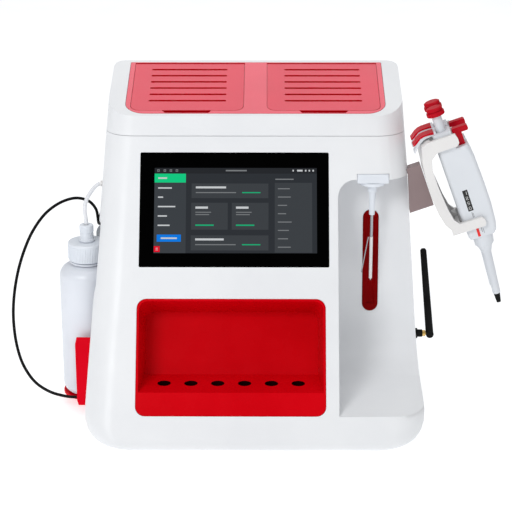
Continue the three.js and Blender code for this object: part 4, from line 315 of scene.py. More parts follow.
# %% Whites and greys
shell_white = plastic("shell_white", (0.80, 0.81, 0.83), (0.84, 0.85, 0.865), (0.38, 0.46), coat=0.04)
warm_white = plastic("warm_white", (0.75, 0.735, 0.725), (0.81, 0.795, 0.785), (0.34, 0.46))
cap_white = plastic("cap_white", (0.72, 0.755, 0.81), (0.78, 0.815, 0.87), (0.32, 0.42))
bottle_milk = plastic(
    "milky_bottle", (0.72, 0.745, 0.80), (0.78, 0.805, 0.86), (0.28, 0.38), scale=300, see_into=0.35
)
grey_plastic = plastic("grey_plastic", (0.34, 0.36, 0.38), (0.42, 0.44, 0.46), (0.4, 0.55))
pipette_grey = plastic("pipette_grey", (0.67, 0.695, 0.735), (0.74, 0.765, 0.80), (0.34, 0.46))
arm_mauve = plastic("arm_mauve", (0.27, 0.20, 0.20), (0.31, 0.235, 0.235), (0.4, 0.55), 0.03, specular=0.2)

# %% Reds
deck_red = plastic("deck_red", (0.76, 0.022, 0.066), (0.82, 0.028, 0.076), (0.22, 0.27), coat=0.5)
lid_red = plastic("lid_red", (0.71, 0.009, 0.045), (0.77, 0.012, 0.053), (0.22, 0.27), coat=0.2)
# painted shade: a deeper red that stands in for the shade in slots, seams, their rounds and the louvres
# below the slots
painted_crevice_shade = plastic("painted_crevice_shade", (0.52, 0.0, 0.003), (0.60, 0.0, 0.006), (0.35, 0.5), specular=0.04)
tray_red = plastic("tray_red", (0.60, 0.0, 0.004), (0.66, 0.001, 0.006), (0.24, 0.30), specular=0.03)
key_red = plastic("key_red", (0.17, 0.0, 0.0), (0.24, 0.0, 0.001), (0.18, 0.28), specular=0.03)
holder_red = plastic("holder_red", (0.66, 0.0, 0.009), (0.74, 0.001, 0.013), (0.32, 0.42), specular=0.03)
pipette_red = plastic("pipette_red", (0.46, 0.001, 0.010), (0.58, 0.002, 0.016), (0.28, 0.4), specular=0.12)

# %% Blacks, the board and small marks
COAL, SOOT = (0.002, 0.002, 0.002), (0.006, 0.006, 0.006)
black_plastic = plastic("black_plastic", COAL, SOOT, (0.42, 0.55), 0.03, specular=0.12)
rubber_black = plastic("rubber_black", COAL, (0.007, 0.007, 0.007), (0.6, 0.75), 0.05, 600, specular=0.12)
# painted shade: near black for the walls of the deep tube wells
painted_well_shade = plastic("painted_well_shade", (0.010, 0.0, 0.0), (0.022, 0.0, 0.001), (0.5, 0.6), specular=0.1)
window_black = plastic("window_black", COAL, SOOT, (0.3, 0.4))
board_green = plastic("board_green", (0.006, 0.07, 0.02), (0.012, 0.11, 0.035), (0.35, 0.6), 0.02, 1500)
mark_white = plastic("mark_white", (0.5, 0.5, 0.5), (0.7, 0.7, 0.7), (0.4, 0.5))
mark_grey = plastic("mark_grey", (0.25, 0.26, 0.28), (0.34, 0.35, 0.37), (0.4, 0.5))
mark_red = plastic("mark_red", (0.75, 0.006, 0.004), (0.85, 0.012, 0.008), (0.35, 0.45))


# %% [markdown]
# ## Metals
# The needle and the lids' pins are polished steel, the antenna's joint is gold plated, and the
# sheet parts inside are zinc plated. All three take their fine lines from the brushed group. A
# metal has no colour of its own below the surface, so its base colour is what it reflects.


# %% Metal materials
def metal(name, dark, light, roughness, across=1400.0, along=30.0):
    made, tree, shader = principled(name)
    group = put(tree, "ShaderNodeGroup", {"Across": across, "Along": along}, node_tree=brushed)
    lines = group.outputs["Lines"]
    add_tint(tree, shader, lines, dark, light)
    add_gloss(tree, shader, lines, roughness)
    add_relief(tree, shader, lines, 0.4, 0.01)
    shader.inputs["Metallic"].default_value = 1.0
    print("metal:", name)
    return made


steel = metal("needle_steel", (0.30, 0.31, 0.33), (0.50, 0.51, 0.53), (0.18, 0.32))
zinc = metal("zinc_sheet", (0.46, 0.48, 0.50), (0.62, 0.64, 0.66), (0.35, 0.55), across=220, along=160)
gold = metal("gold_plating", (0.66, 0.42, 0.12), (0.80, 0.55, 0.20), (0.2, 0.34))

# %% [markdown]
# ## Glass and picture of the screen
# The touch screen is one sheet of black glass. The display behind it glows through, so each
# colour of the picture gives off its own light, dimmed a little between the display's fine dots.
# The glass reflects little, because such panels are coated. A picture file would be quicker, but
# glowing materials on thin plates stay sharp at any distance.

# %% Group: display dots
dots, dots_in, dots_out = new_group(
    "display dots",
    "ShaderNodeTree",
    [("Colour", COLOUR, (0.1, 0.1, 0.1, 1.0)), ("Pitch", FLOAT, 4000.0)],
    [("Glow", COLOUR)],
)
place = put(dots, "ShaderNodeTexCoord")
cells = put(dots, "ShaderNodeTexVoronoi", feature="F1")
dots.links.new(place.outputs["Object"], cells.inputs["Vector"])
dots.links.new(dots_in.outputs["Pitch"], cells.inputs["Scale"])
dim = put(dots, "ShaderNodeMapRange", {"From Max": 0.8, "To Min": 1.0, "To Max": 0.86})
dots.links.new(cells.outputs["Distance"], dim.inputs["Value"])
glow = put(dots, "ShaderNodeVectorMath", operation="SCALE")
dots.links.new(dots_in.outputs["Colour"], glow.inputs[0])
dots.links.new(dim.outputs["Result"], glow.inputs["Scale"])
dots.links.new(glow.outputs["Vector"], dots_out.inputs["Glow"])
print("group:", dots.name)


# %% Glass and glowing materials
def glowing(name, colour, strength=1.0):
    made, tree, shader = principled(name)
    pixels = put(tree, "ShaderNodeGroup", {"Colour": (*colour, 1)}, node_tree=dots)
    tree.links.new(pixels.outputs["Glow"], shader.inputs["Emission Color"])
    shader.inputs["Emission Strength"].default_value = strength
    masks = put(tree, "ShaderNodeGroup", node_tree=skin)
    add_gloss(tree, shader, masks.outputs["Smudge"], (0.10, 0.16))
    shader.inputs["Base Color"].default_value = (0.004, 0.004, 0.005, 1)
    shader.inputs["Specular IOR Level"].default_value = 0.02
    return made


GLASS_DARK, GLASS_LIGHT = (0.0002, 0.0002, 0.0002), (0.0006, 0.0006, 0.0006)
screen_glass = plastic("screen_glass", GLASS_DARK, GLASS_LIGHT, (0.07, 0.13), grain=0.0, specular=0.012)
glows = {
    "ground": glowing("glow_ground", (0.026, 0.030, 0.035)),
    "side": glowing("glow_side", (0.044, 0.051, 0.058)),
    "card": glowing("glow_card", (0.046, 0.052, 0.058)),
    "bar": glowing("glow_bar", (0.017, 0.019, 0.022)),
    "green": glowing("glow_green", (0.003, 0.62, 0.23)),
    "link": glowing("glow_link", (0.006, 0.42, 0.18)),
    "blue": glowing("glow_blue", (0.0, 0.20, 0.80)),
    "red": glowing("glow_red", (0.80, 0.0, 0.018)),
    "white": glowing("glow_white", (0.62, 0.64, 0.66)),
    "grey": glowing("glow_grey", (0.20, 0.21, 0.22)),
}
print("screen colours:", sorted(glows))

# %% [markdown]
# ## Two cords
# A milky tube rises from the bottle's cap and bends over to the side wall. A black sensor cable
# leaves a plug high on that wall, hangs in one wide loop and ends in a socket at the bottle's foot.
# Both are short, fixed lengths with both ends on the object. Each follows given points in
# the place of its solid, with a rounder start, and a smooth curve is passed through them. A curve
# object with a round bevel suits a cord, because its thickness and its route stay apart.


# %% Smooth line through chosen points
def through(points, steps=12):
    given = [np.array(p, float) * MM for p in points]
    given = [2 * given[0] - given[1], *given, 2 * given[-1] - given[-2]]
    line = []
    for a, b, c, d in zip(given, given[1:], given[2:], given[3:]):
        t1 = np.linalg.norm(b - a) ** 0.5
        t2 = t1 + np.linalg.norm(c - b) ** 0.5
        t3 = t2 + np.linalg.norm(d - c) ** 0.5
        for step in range(steps):
            t = t1 + (t2 - t1) * step / steps
            ab = (t1 - t) / t1 * a + t / t1 * b
            bc = (t2 - t) / (t2 - t1) * b + (t - t1) / (t2 - t1) * c
            cd = (t3 - t) / (t3 - t2) * c + (t - t2) / (t3 - t2) * d
            left = (t2 - t) / t2 * ab + t / t2 * bc
            right = (t3 - t) / (t3 - t1) * bc + (t - t1) / (t3 - t1) * cd
            line.append((t2 - t) / (t2 - t1) * left + (t - t1) / (t2 - t1) * right)
    line.append(given[-2])
    return [ORIGIN + Vector(p) for p in line]


# %% Cord maker
def cord_curve(name, points, radius, material):
    line = through(points)
    data = bpy.data.curves.new(name, "CURVE")
    data.dimensions = "3D"
    data.bevel_depth = radius * MM
    data.bevel_resolution = 5
    data.use_fill_caps = True
    spline = data.splines.new("POLY")
    spline.points.add(len(line) - 1)
    for target, point in zip(spline.points, line):
        target.co = (*point, 1)
    data.materials.append(material)
    made = linked(name, data)
    length = sum((b - a).length for a, b in zip(line, line[1:]))
    print(name, "length", round(length * 1000, 1), "mm")
    return made, line, length


# %% Routes in millimetres from the housing's origin
TUBE_ROUTE = (
    (-186.6, 150, 203.1),
    (-187.1, 150.3, 210),
    (-187.9, 151.5, 217.1),
    (-187.8, 154.2, 223.8),
    (-185.7, 158.9, 230.4),
    (-181.8, 164.7, 236),
    (-178.5, 169.0, 239.6),
    (-175.7, 171.8, 241.8),
    (-172.7, 173.6, 243),
)
CABLE_ROUTE = (
    (-178, 206, 187),
    (-178, 200.9, 187.8),
    (-178, 196.3, 190.2),
    (-178, 192.7, 193.8),
    (-178, 190.3, 198.4),
    (-179.6, 188.6, 208.5),
    (-186.8, 186.9, 218.2),
    (-200.4, 184, 222.9),
    (-216.8, 180, 219.5),
    (-233.6, 174, 208.9),
    (-248.2, 167, 190.4),
    (-258.3, 160, 169),
    (-266.2, 152, 142.7),
    (-270.8, 145, 112.3),
    (-270.8, 139, 87.2),
    (-266.9, 133, 61.3),
    (-259.9, 127.5, 42.4),
    (-247.2, 122, 25.4),
    (-230.3, 117, 15.8),
    (-213, 114.5, 11.6),
    (-204.5, 114, 10.8),
    (-197.8, 114, 11),
)
print("route points:", len(TUBE_ROUTE), "and", len(CABLE_ROUTE))

# %% Finishes of the cords
tube_milk = plastic(
    "tube_milk", (0.72, 0.73, 0.76), (0.82, 0.83, 0.86), (0.2, 0.3), scale=500, see_into=0.3
)
cable_black = plastic("cable_black", COAL, (0.005, 0.005, 0.005), (0.35, 0.5), 0.02, specular=0.1)

# %% Reagent tube and sensor cable
reagent_tube, tube_line, tube_length = cord_curve("milky_tube", TUBE_ROUTE, 2.2, tube_milk)
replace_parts(reagent_tube, "reagent_tube")
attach(reagent_tube, "analyzer")
sensor_cable, cable_line, cable_length = cord_curve("black_cable", CABLE_ROUTE, 1.7, cable_black)
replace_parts(sensor_cable, "sensor_cable")
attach(sensor_cable, "analyzer")

# %% [markdown]
# ## Rounded and smooth copies
# A solid model comes as loose triangles with hard edges. For a piece that shows, its triangles
# are merged into whole faces, edges are rounded a little as a mould would leave them, and smooth
# shading is kept off the sharp corners. Normals weighted by area keep large flats flat. The copy
# stands for its solid and moves with the same body. Drawing the piece anew would be the other
# way, but a copy keeps every hole and every place of the solid.

# %% Which body and which finish a node has
body_of = {node: body for body, members in record["behaviour"]["bodies"].items() for node in members}
print("bodies:", sorted(set(body_of.values())))


# %% Helpers for meshes and pieces
def mesh_from(name, shape):
    mesh = bpy.data.meshes.new(name)
    shape.to_mesh(mesh)
    shape.free()
    return mesh


def smoothed(mesh, angle):
    for face in mesh.polygons:
        face.use_smooth = True
    mesh.set_sharp_from_angle(angle=math.radians(angle))


def piece(name, mesh, body, materials=()):
    for material in materials:
        mesh.materials.append(material)
    made = linked(name, mesh)
    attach(made, body)
    return made


# %% Merge a solid's triangles
SAME_POINT = 0.02 * MM
SAME_PLANE = math.radians(0.5)


def merged(node):
    shape = bmesh.new()
    shape.from_mesh(nodes[node].data)
    bmesh.ops.remove_doubles(shape, verts=shape.verts, dist=SAME_POINT)
    before = len(shape.faces)
    bmesh.ops.dissolve_limit(
        shape, angle_limit=SAME_PLANE, verts=shape.verts, edges=shape.edges, delimit={"NORMAL"}
    )
    print(node, "merged from", before, "to", len(shape.faces), "faces")
    return shape


# %% Rounded copy of a solid
def bevel_edges(shape, edges, width, steps):
    bmesh.ops.bevel(
        shape,
        geom=edges,
        offset=width,
        offset_type="OFFSET",
        segments=steps,
        profile=0.5,
        affect="EDGES",
        clamp_overlap=True,
    )


def dressed(node, material, round_mm=0.0, angle=30, steps=2, pick=None):
    name = node + "_skin"
    shape = merged(node)
    if pick:
        picked = [edge for edge in shape.edges if len(edge.link_faces) == 2 and pick(edge)]
        bevel_edges(shape, picked, round_mm * MM, steps)
    mesh = mesh_from(name, shape)
    mesh.materials.clear()
    smoothed(mesh, angle)
    made = piece(name, mesh, body_of[node], [material])
    if round_mm and not pick:
        bevel = made.modifiers.new("rounded edges", "BEVEL")
        bevel.width = round_mm * MM
        bevel.segments = steps
        bevel.limit_method = "ANGLE"
        bevel.angle_limit = math.radians(35)
        bevel.use_clamp_overlap = True
        bevel.harden_normals = False
    weight = made.modifiers.new("flat faces stay flat", "WEIGHTED_NORMAL")
    weight.keep_sharp = True
    weight.weight = 80
    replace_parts(made, node)
    return made


# %% Finishes for nodes and for single faces
def painted(material, *names):
    for node in names:
        for slot in nodes[node].material_slots:
            slot.material = material
    print(material.name, "on", len(names), "nodes")


def recolour(made, material, test):
    made.data.materials.append(material)
    index = len(made.data.materials) - 1
    chosen = [face for face in made.data.polygons if test(face)]
    for face in chosen:
        face.material_index = index
    print(made.name, "has", len(chosen), "faces of", material.name)


# %% [markdown]
# ## Exact normals on round parts
# A round surface in a solid model is a row of flat strips. The strips of a known cylinder are given
# the cylinder's own normals, so light runs over them without bands. Wide flat faces keep their own
# one normal out to their edges.


# %% Helper for round surfaces
ON_CYLINDER = 0.08 * MM
WIDE_FACE = 8 * MM
FACES_OUT = 0.9


def settled(made, rounds):
    graph = bpy.context.evaluated_depsgraph_get()
    mesh = bpy.data.meshes.new_from_object(made.evaluated_get(graph))
    normals = [corner.vector.copy() for corner in mesh.corner_normals]
    changed = 0
    for face in mesh.polygons:
        corners = [mesh.vertices[i].co for i in face.vertices]
        around = sum((a - b).length for a, b in zip(corners, corners[1:] + corners[:1]))
        if face.area / around > WIDE_FACE:
            for loop in face.loop_indices:
                normals[loop] = face.normal.copy()
            continue
        for centre, axis, radius in rounds:
            arms = []
            for index in face.vertices:
                arm = mesh.vertices[index].co - centre
                arms.append(arm - axis * arm.dot(axis))
            if any(abs(arm.length - radius) > ON_CYLINDER for arm in arms):
                continue
            middle = sum(arms, Vector()).normalized()
            if abs(middle.dot(face.normal)) < FACES_OUT:
                continue
            side = 1 if middle.dot(face.normal) > 0 else -1
            for loop, arm in zip(face.loop_indices, arms):
                normals[loop] = side * arm.normalized()
            changed += 1
            break
    mesh.normals_split_custom_set([tuple(n) for n in normals])
    made.modifiers.clear()
    made.data = mesh
    print(made.name, "has", changed, "strips with round normals")


# %% [markdown]
# ## Housing
# The housing is two mouldings: the main shell and the cap, with a fine seam between them. The
# mouth of the sample bay has a softly rounded edge, so only the edges that lie on the front face
# beside the bay are rounded there. The bay's back leans, its floor slopes, and a wide round joins
# them. That round and the bay's corner get exact normals, because the shading of large white
# surfaces shows every step.


# %% Main shell
MOUTH_LEFT, MOUTH_TOP, MOUTH_BOTTOM = 89 * MM, 256.5 * MM, 20 * MM
ON_FACE = 0.2 * MM
SHARP = math.radians(40)


def on_front(vertex):
    return abs((FACE.inverted() @ vertex.co).z) < ON_FACE


def bay_mouth(edge):
    if not all(on_front(vertex) for vertex in edge.verts):
        return False
    middle = (edge.verts[0].co + edge.verts[1].co) / 2 - ORIGIN
    beside_bay = middle.x > MOUTH_LEFT and MOUTH_BOTTOM < middle.z < MOUTH_TOP
    return beside_bay and edge.calc_face_angle(0) >= SHARP


shell = dressed("main_shell", shell_white, round_mm=4.2, steps=6, pick=bay_mouth)

# %% Cap and rear panel
dressed("top_cover", shell_white, round_mm=1.6, steps=3)
dressed("rear_panel", shell_white)

# %% Round surfaces of the bay
BAY_LEFT, BAY_LEDGE, BAY_BACK, BAY_FLOOR, COVE, BAY_CORNER = 90.7, 254.9, 190.0, 31.0, 62.0, 18.0
FRONT_LEAN, LEAN, SLOPE = (math.radians(a) for a in (30, 8, 4))
floor_start = BAY_FLOOR - BAY_FLOOR * math.tan(FRONT_LEAN) * math.tan(SLOPE)
wall_start = BAY_BACK - BAY_LEDGE * math.tan(LEAN)
corner_z = (floor_start + math.tan(SLOPE) * wall_start) / (1 - math.tan(SLOPE) * math.tan(LEAN))
corner_y = wall_start + corner_z * math.tan(LEAN)
tangent = COVE * math.tan((math.pi / 2 - LEAN - SLOPE) / 2)
cove_y = corner_y + tangent * math.sin(LEAN) - COVE * math.cos(LEAN)
cove_z = corner_z + tangent * math.cos(LEAN) + COVE * math.sin(LEAN)
settled(
    shell,
    [
        (ORIGIN + Vector((0, cove_y, cove_z)) * MM, Vector((1, 0, 0)), COVE * MM),
        (
            ORIGIN + Vector((BAY_LEFT + BAY_CORNER, 0, BAY_LEDGE - BAY_CORNER)) * MM,
            Vector((0, 1, 0)),
            BAY_CORNER * MM,
        ),
    ],
)

# %% [markdown]
# ## Lids and deck
# The deck and its two lids are glossy red mouldings. Each lid has six narrow slots. The upright
# walls of slots and seams, and the small rounds at their edges, get a deeper red as painted shade,
# for little light reaches them. The faces are found by their direction and height, so no face is
# named by number.

# %% Deck and lids
deck = dressed("lid_deck", deck_red, round_mm=0.5)
lids = [dressed("lid_" + side, lid_red, round_mm=0.35) for side in ("left", "right")]
DECK_UP = DECK.to_3x3().col[2].normalized()
UPRIGHT, SEAM_DEPTH = 0.3, 5 * MM


def seam_wall(face):
    height = (DECK.inverted() @ face.center).z
    return abs(face.normal.dot(DECK_UP)) < UPRIGHT and height > -SEAM_DEPTH


# painted shade on the lids and deck: upright slot and seam walls and the rounds at their edges take the
# deeper red
for part in (deck, *lids):
    recolour(part, painted_crevice_shade, seam_wall)
    part.modifiers["rounded edges"].material = len(part.data.materials) - 1

# %% [markdown]
# ## Louvres
# Seen from above, a slot shows deep red as painted shade: a thin louvre in the deeper red closes it
# below, a dark sheet that stands in for the shade inside the slot. The louvres repeat, so Geometry
# Nodes lay them out in a row. The ending of such a tree is the same for every kind of copy, so one
# helper builds it: it sets copies on points, makes them real and gives them a finish.


# %% Helper: copies of one shape on points, with a finish
def copies_on(tree, points, shape, finish, result):
    copies = put(tree, "GeometryNodeInstanceOnPoints")
    tree.links.new(points, copies.inputs["Points"])
    tree.links.new(shape, copies.inputs["Instance"])
    real = put(tree, "GeometryNodeRealizeInstances")
    tree.links.new(copies.outputs["Instances"], real.inputs["Geometry"])
    coloured = put(tree, "GeometryNodeSetMaterial")
    tree.links.new(real.outputs["Geometry"], coloured.inputs["Geometry"])
    tree.links.new(finish, coloured.inputs["Material"])
    tree.links.new(coloured.outputs["Geometry"], result)
    print("tree:", tree.name)


# %% Tree: a row of equal bars
bars, bars_in, bars_out = new_group(
    "row of bars",
    "GeometryNodeTree",
    [
        ("Geometry", SHAPE, None),
        ("Count", COUNT, 6),
        ("Step", VECTOR, (0.0, 0.014, 0.0)),
        ("Bar", VECTOR, (0.08, 0.003, 0.0004)),
        ("Finish", FINISH, None),
    ],
    [("Geometry", SHAPE)],
)
line = put(bars, "GeometryNodeMeshLine", mode="OFFSET")
bars.links.new(bars_in.outputs["Count"], line.inputs["Count"])
bars.links.new(bars_in.outputs["Step"], line.inputs["Offset"])
block = put(bars, "GeometryNodeMeshCube")
bars.links.new(bars_in.outputs["Bar"], block.inputs["Size"])
copies_on(
    bars, line.outputs["Mesh"], block.outputs["Mesh"], bars_in.outputs["Finish"], bars_out.inputs["Geometry"]
)


# %% Run a tree and keep its result as a plain mesh
def grown(name, tree, values, matrix, body):
    helper = linked(name + "_start", bpy.data.meshes.new(name + "_start"))
    grower = helper.modifiers.new("grower", "NODES")
    grower.node_group = tree
    for item in tree.interface.items_tree:
        if item.item_type == "SOCKET" and item.in_out == "INPUT" and item.name in values:
            grower[item.identifier] = values[item.name]
    bpy.context.view_layer.update()
    graph = bpy.context.evaluated_depsgraph_get()
    mesh = bpy.data.meshes.new_from_object(helper.evaluated_get(graph))
    mesh.name = name
    bpy.data.objects.remove(helper)
    mesh.transform(matrix)
    print(name, "has", len(mesh.polygons), "faces")
    return piece(name, mesh, body)


# %% Louvres under the lids' slots
LID_CENTRE, SLOT_COUNT, SLOT_FIRST, SLOT_PITCH = 76, 6, 32.9, 13.96
LOUVRE_LENGTH, LOUVRE_WIDTH, LOUVRE_THICKNESS, LOUVRE_DROP = 85.6, 3.25, 0.5, 2.4
# painted shade: the louvres carry the deeper red of the slots' shade
for side, sign in (("left", -1), ("right", 1)):
    first = Vector((sign * LID_CENTRE, SLOT_FIRST, -LOUVRE_DROP)) * MM
    grown(
        "lid_louvres_" + side,
        bars,
        {
            "Count": SLOT_COUNT,
            "Step": (0.0, SLOT_PITCH * MM, 0.0),
            "Bar": (LOUVRE_LENGTH * MM, LOUVRE_WIDTH * MM, LOUVRE_THICKNESS * MM),
            "Finish": painted_crevice_shade,
        },
        DECK @ Matrix.Translation(first),
        "lid_" + side,
    )

# %% [markdown]
# ## Tray, key and needle
# The tray, the aspirate key and the sampling head have the right shape already. They get rounded
# edges and their own finishes. The walls of the six tube wells get a near-black painted shade, for
# the wells are deep. The needle shines at its tip, and a thin white sleeve covers the rest.

# %% Tray and glass
SHELF, WELL_DEPTH, WELL_RIM = 52.9, 37, 0.4
WELL_Y, WELL_RADIUS, WELL_COUNT, WELL_PITCH, WELLS_MIDDLE = 55.9, 7.4, 6, 29.0, -25.3
WELL_X = [WELLS_MIDDLE + (i - (WELL_COUNT - 1) / 2) * WELL_PITCH for i in range(WELL_COUNT)]


def in_well(face):
    local = (face.center - ORIGIN) / MM
    if not SHELF - WELL_DEPTH <= local.z <= SHELF - WELL_RIM:
        return False
    return any(math.hypot(local.x - x, local.y - WELL_Y) < WELL_RADIUS for x in WELL_X)


# painted shade: the tube wells' walls take the near-black finish
recolour(dressed("tube_tray", tray_red, round_mm=0.5, angle=35), painted_well_shade, in_well)
dressed("touch_glass", screen_glass, round_mm=0.3)

# %% Bay fittings
dressed("aspirate_key", key_red, round_mm=0.5, steps=3)
dressed("sipper_block", cap_white, round_mm=1.2, steps=3)
dressed("sipper_nozzle", cap_white, angle=40)
dressed("sample_probe", steel, angle=50)
dressed("probe_sleeve", warm_white, angle=50)
dressed("capillary", steel, angle=50)


# %% [markdown]
# ## Picture on the screen
# The display shows a plain menu: a side bar with a green entry, four cards, a list on the right
# and a few icons. Lines of text are drawn as bars, because the words don't matter here. Each
# patch is a closed plate a few hundredths of a millimetre thick, and nearer layers lie higher, so
# that no two of them flicker in one plane.


# %% Plates on the glass
BOX_FACES = ((3, 2, 1, 0), (4, 5, 6, 7), (0, 1, 5, 4), (1, 2, 6, 5), (2, 3, 7, 6), (3, 0, 4, 7))
PLATE_SHARE = 0.8


def plates(name, rows, matrix, body, lift=0.03, thickness=0.03):
    shape = bmesh.new()
    materials = []
    for x0, x1, y0, y1, layer, material in rows:
        if material not in materials:
            materials.append(material)
        low = lift + layer * thickness
        corners = [
            shape.verts.new(matrix @ (Vector((x, y, z)) * MM))
            for z in (low, low + thickness * PLATE_SHARE)
            for x, y in ((x0, y0), (x1, y0), (x1, y1), (x0, y1))
        ]
        for loop in BOX_FACES:
            face = shape.faces.new([corners[i] for i in loop])
            face.material_index = materials.index(material)
    print(name, "has", len(rows), "plates")
    return piece(name, mesh_from(name, shape), body, materials)


# %% Patches of the picture
def patch(x0, x1, y0, y1, layer, colour):
    return (x0, x1, y0, y1, layer, glows[colour])


def text_bar(x, y, length, height, layer, colour):
    return patch(x, x + length, y - height / 2, y + height / 2, layer, colour)


# %% Menu: grounds, cards and buttons
picture = [
    patch(-109.8, 67.5, 212.8, 307.9, 0, "ground"),
    patch(-109.8, -75.2, 212.8, 301.4, 1, "side"),
    patch(-109.8, 67.5, 301.6, 307.9, 1, "bar"),
    patch(-109.8, -75.6, 291.4, 301.4, 2, "green"),
    text_bar(-105.8, 296.4, 9.6, 1.7, 3, "white"),
    patch(-106.6, -80.4, 225.4, 233.3, 2, "blue"),
    text_bar(-102.2, 229.3, 17.5, 1.7, 3, "white"),
    patch(-109.6, -103.2, 214.0, 220.5, 2, "red"),
    patch(-107.6, -105.2, 216.0, 216.6, 3, "white"),
    patch(-107.6, -105.2, 217.9, 218.5, 3, "white"),
    patch(-69.2, 14.6, 274.0, 290.4, 1, "card"),
    patch(-69.4, -29.6, 238.8, 268.8, 1, "card"),
    patch(-25.2, 14.8, 238.8, 268.8, 1, "card"),
    patch(-69.6, 14.8, 215.9, 232.5, 1, "card"),
    patch(21.6, 62.3, 213.4, 291.2, 1, "card"),
    text_bar(22.2, 295.2, 20.0, 1.3, 1, "grey"),
    text_bar(-32.0, 304.9, 23.0, 1.6, 2, "grey"),
]
print("grounds, cards and buttons:", len(picture))

# %% Menu: lines of text
for y, length in ((285.3, 15.0), (275.0, 5.6), (264.5, 19.0), (254.0, 10.0), (243.6, 13.0)):
    picture.append(text_bar(-105.8, y, length, 1.5, 2, "white"))
for x, y, length in ((-64.6, 286.0, 33.0), (-64.8, 228.0, 31.0)):
    picture.append(text_bar(x, y, length, 2.2, 2, "white"))
    picture.append(text_bar(x, y - 5.8, 44.0, 1.1, 2, "grey"))
    picture.append(text_bar(-14.0, y - 5.8, 20.0, 1.3, 2, "link"))
for x in (-64.8, -20.6):
    picture.append(text_bar(x, 263.4, 13.6, 2.4, 2, "white"))
    picture.append(text_bar(x, 258.2, 17.0, 1.0, 2, "grey"))
    picture.append(text_bar(x, 255.6, 15.0, 1.0, 2, "grey"))
    picture.append(text_bar(x, 243.8, 20.0, 1.6, 2, "link"))
for index, length in enumerate((13, 14, 10, 9, 15, 12, 11, 14)):
    y = 284.6 - index * 9.3
    picture.append(text_bar(25.0, y, length, 1.1, 2, "grey"))
    picture.append(patch(24.4, 60.4, y - 4.9, y - 4.6, 2, "side"))
print("with lines of text:", len(picture))

# %% Menu: icons
for x in (-107.0, -100.0, -93.4, -86.8):
    picture.append(patch(x, x + 2.6, 303.6, 306.2, 2, "grey"))
    picture.append(patch(x + 0.7, x + 1.9, 304.3, 305.5, 3, "bar"))
for x, width in ((41.0, 1.4), (46.0, 6.0), (54.6, 1.6), (58.6, 1.6), (62.8, 1.6)):
    picture.append(patch(x, x + width, 304.0, 305.9, 2, "white"))
plates("screen_picture", picture, FACE, "analyzer")

# %% [markdown]
# ## Bottle
# The bottle is blown from milky plastic, and its cap and gland are moulded round the same axis. So
# all three are turned from a profile, which gives finer rounds than the solids have. The cap has
# fine grip ribs all round, which repeat, so Geometry Nodes place them.

# %% Place of the bottle
bottle_low, bottle_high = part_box("reagent_bottle")
BOTTLE_AXIS = Vector(((bottle_low.x + bottle_high.x) / 2, (bottle_low.y + bottle_high.y) / 2, ORIGIN.z))
print("bottle axis:", [round(v, 4) for v in BOTTLE_AXIS])


# %% Profile with rounded corners
def rounded_profile(points, radius, steps=5):
    result = [Vector(points[0])]
    for before, here, after in zip(points, points[1:], points[2:]):
        before, here, after = Vector(before), Vector(here), Vector(after)
        reach = min(radius, (here - before).length / 2, (after - here).length / 2)
        start = here + (before - here).normalized() * reach
        end = here + (after - here).normalized() * reach
        for step in range(steps + 1):
            t = step / steps
            result.append(start * (1 - t) ** 2 + here * 2 * t * (1 - t) + end * t**2)
    result.append(Vector(points[-1]))
    return result


# %% Turn a profile about the bottle's axis
TURNED_SIDES = 96
TURNED_ANGLES = [2 * math.pi * i / TURNED_SIDES for i in range(TURNED_SIDES)]
SAME = 1e-6


def ring_of(shape, radius, height):
    angles = TURNED_ANGLES if radius > SAME else [0.0]
    points = [Vector((radius * math.cos(a), radius * math.sin(a), height)) for a in angles]
    return [shape.verts.new(BOTTLE_AXIS + point) for point in points]


def turned(name, node, profile, material):
    shape = bmesh.new()
    closed = (Vector(profile[0]) - Vector(profile[-1])).length < SAME
    rings = [ring_of(shape, r * MM, z * MM) for r, z in (profile[:-1] if closed else profile)]
    if closed:
        rings.append(rings[0])
    for low, high in zip(rings, rings[1:]):
        if len(low) == len(high) == 1:
            continue
        for i in range(TURNED_SIDES):
            j = (i + 1) % TURNED_SIDES
            loop = [low[i % len(low)], low[j % len(low)], high[j % len(high)], high[i % len(high)]]
            shape.faces.new(list(dict.fromkeys(loop)))
    bmesh.ops.recalc_face_normals(shape, faces=shape.faces)
    mesh = mesh_from(name, shape)
    smoothed(mesh, 40)
    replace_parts(piece(name, mesh, body_of[node], [material]), node)
    print(name, "has", len(mesh.polygons), "faces")


# %% Bottle
BODY_RADIUS, FOOT_LEVEL, FOOT_ROUND = 31.5, 6.1, 11.0
NECK_RADIUS, SHOULDER_LEVEL, SHOULDER_RISE = 16.2, 145, 13.5


def arc(centre, wide, high, degrees):
    angles = [math.radians(d) for d in degrees]
    return [(centre[0] + wide * math.cos(a), centre[1] + high * math.sin(a)) for a in angles]


foot_centre = (BODY_RADIUS - FOOT_ROUND, FOOT_LEVEL + FOOT_ROUND)
foot = arc(foot_centre, FOOT_ROUND, FOOT_ROUND, range(-90, 1, 6))
shoulder_wide = BODY_RADIUS - NECK_RADIUS
shoulder = arc((NECK_RADIUS, SHOULDER_LEVEL), shoulder_wide, SHOULDER_RISE, range(6, 91, 7))
collar = [(NECK_RADIUS, 159.2), (19.4, 159.8), (19.4, 161.4), (NECK_RADIUS, 162.0)]
neck = [*collar, (NECK_RADIUS, 180.2), (14.7, 180.2), (14.7, 158), (0, 158)]
base = [(0, 7.2), (15, 7.2), (18, FOOT_LEVEL)]
side = [(BODY_RADIUS, 80), (BODY_RADIUS, 143)]
turned("milky_bottle", "reagent_bottle", [*base, *foot, *side, *shoulder, *neck], bottle_milk)

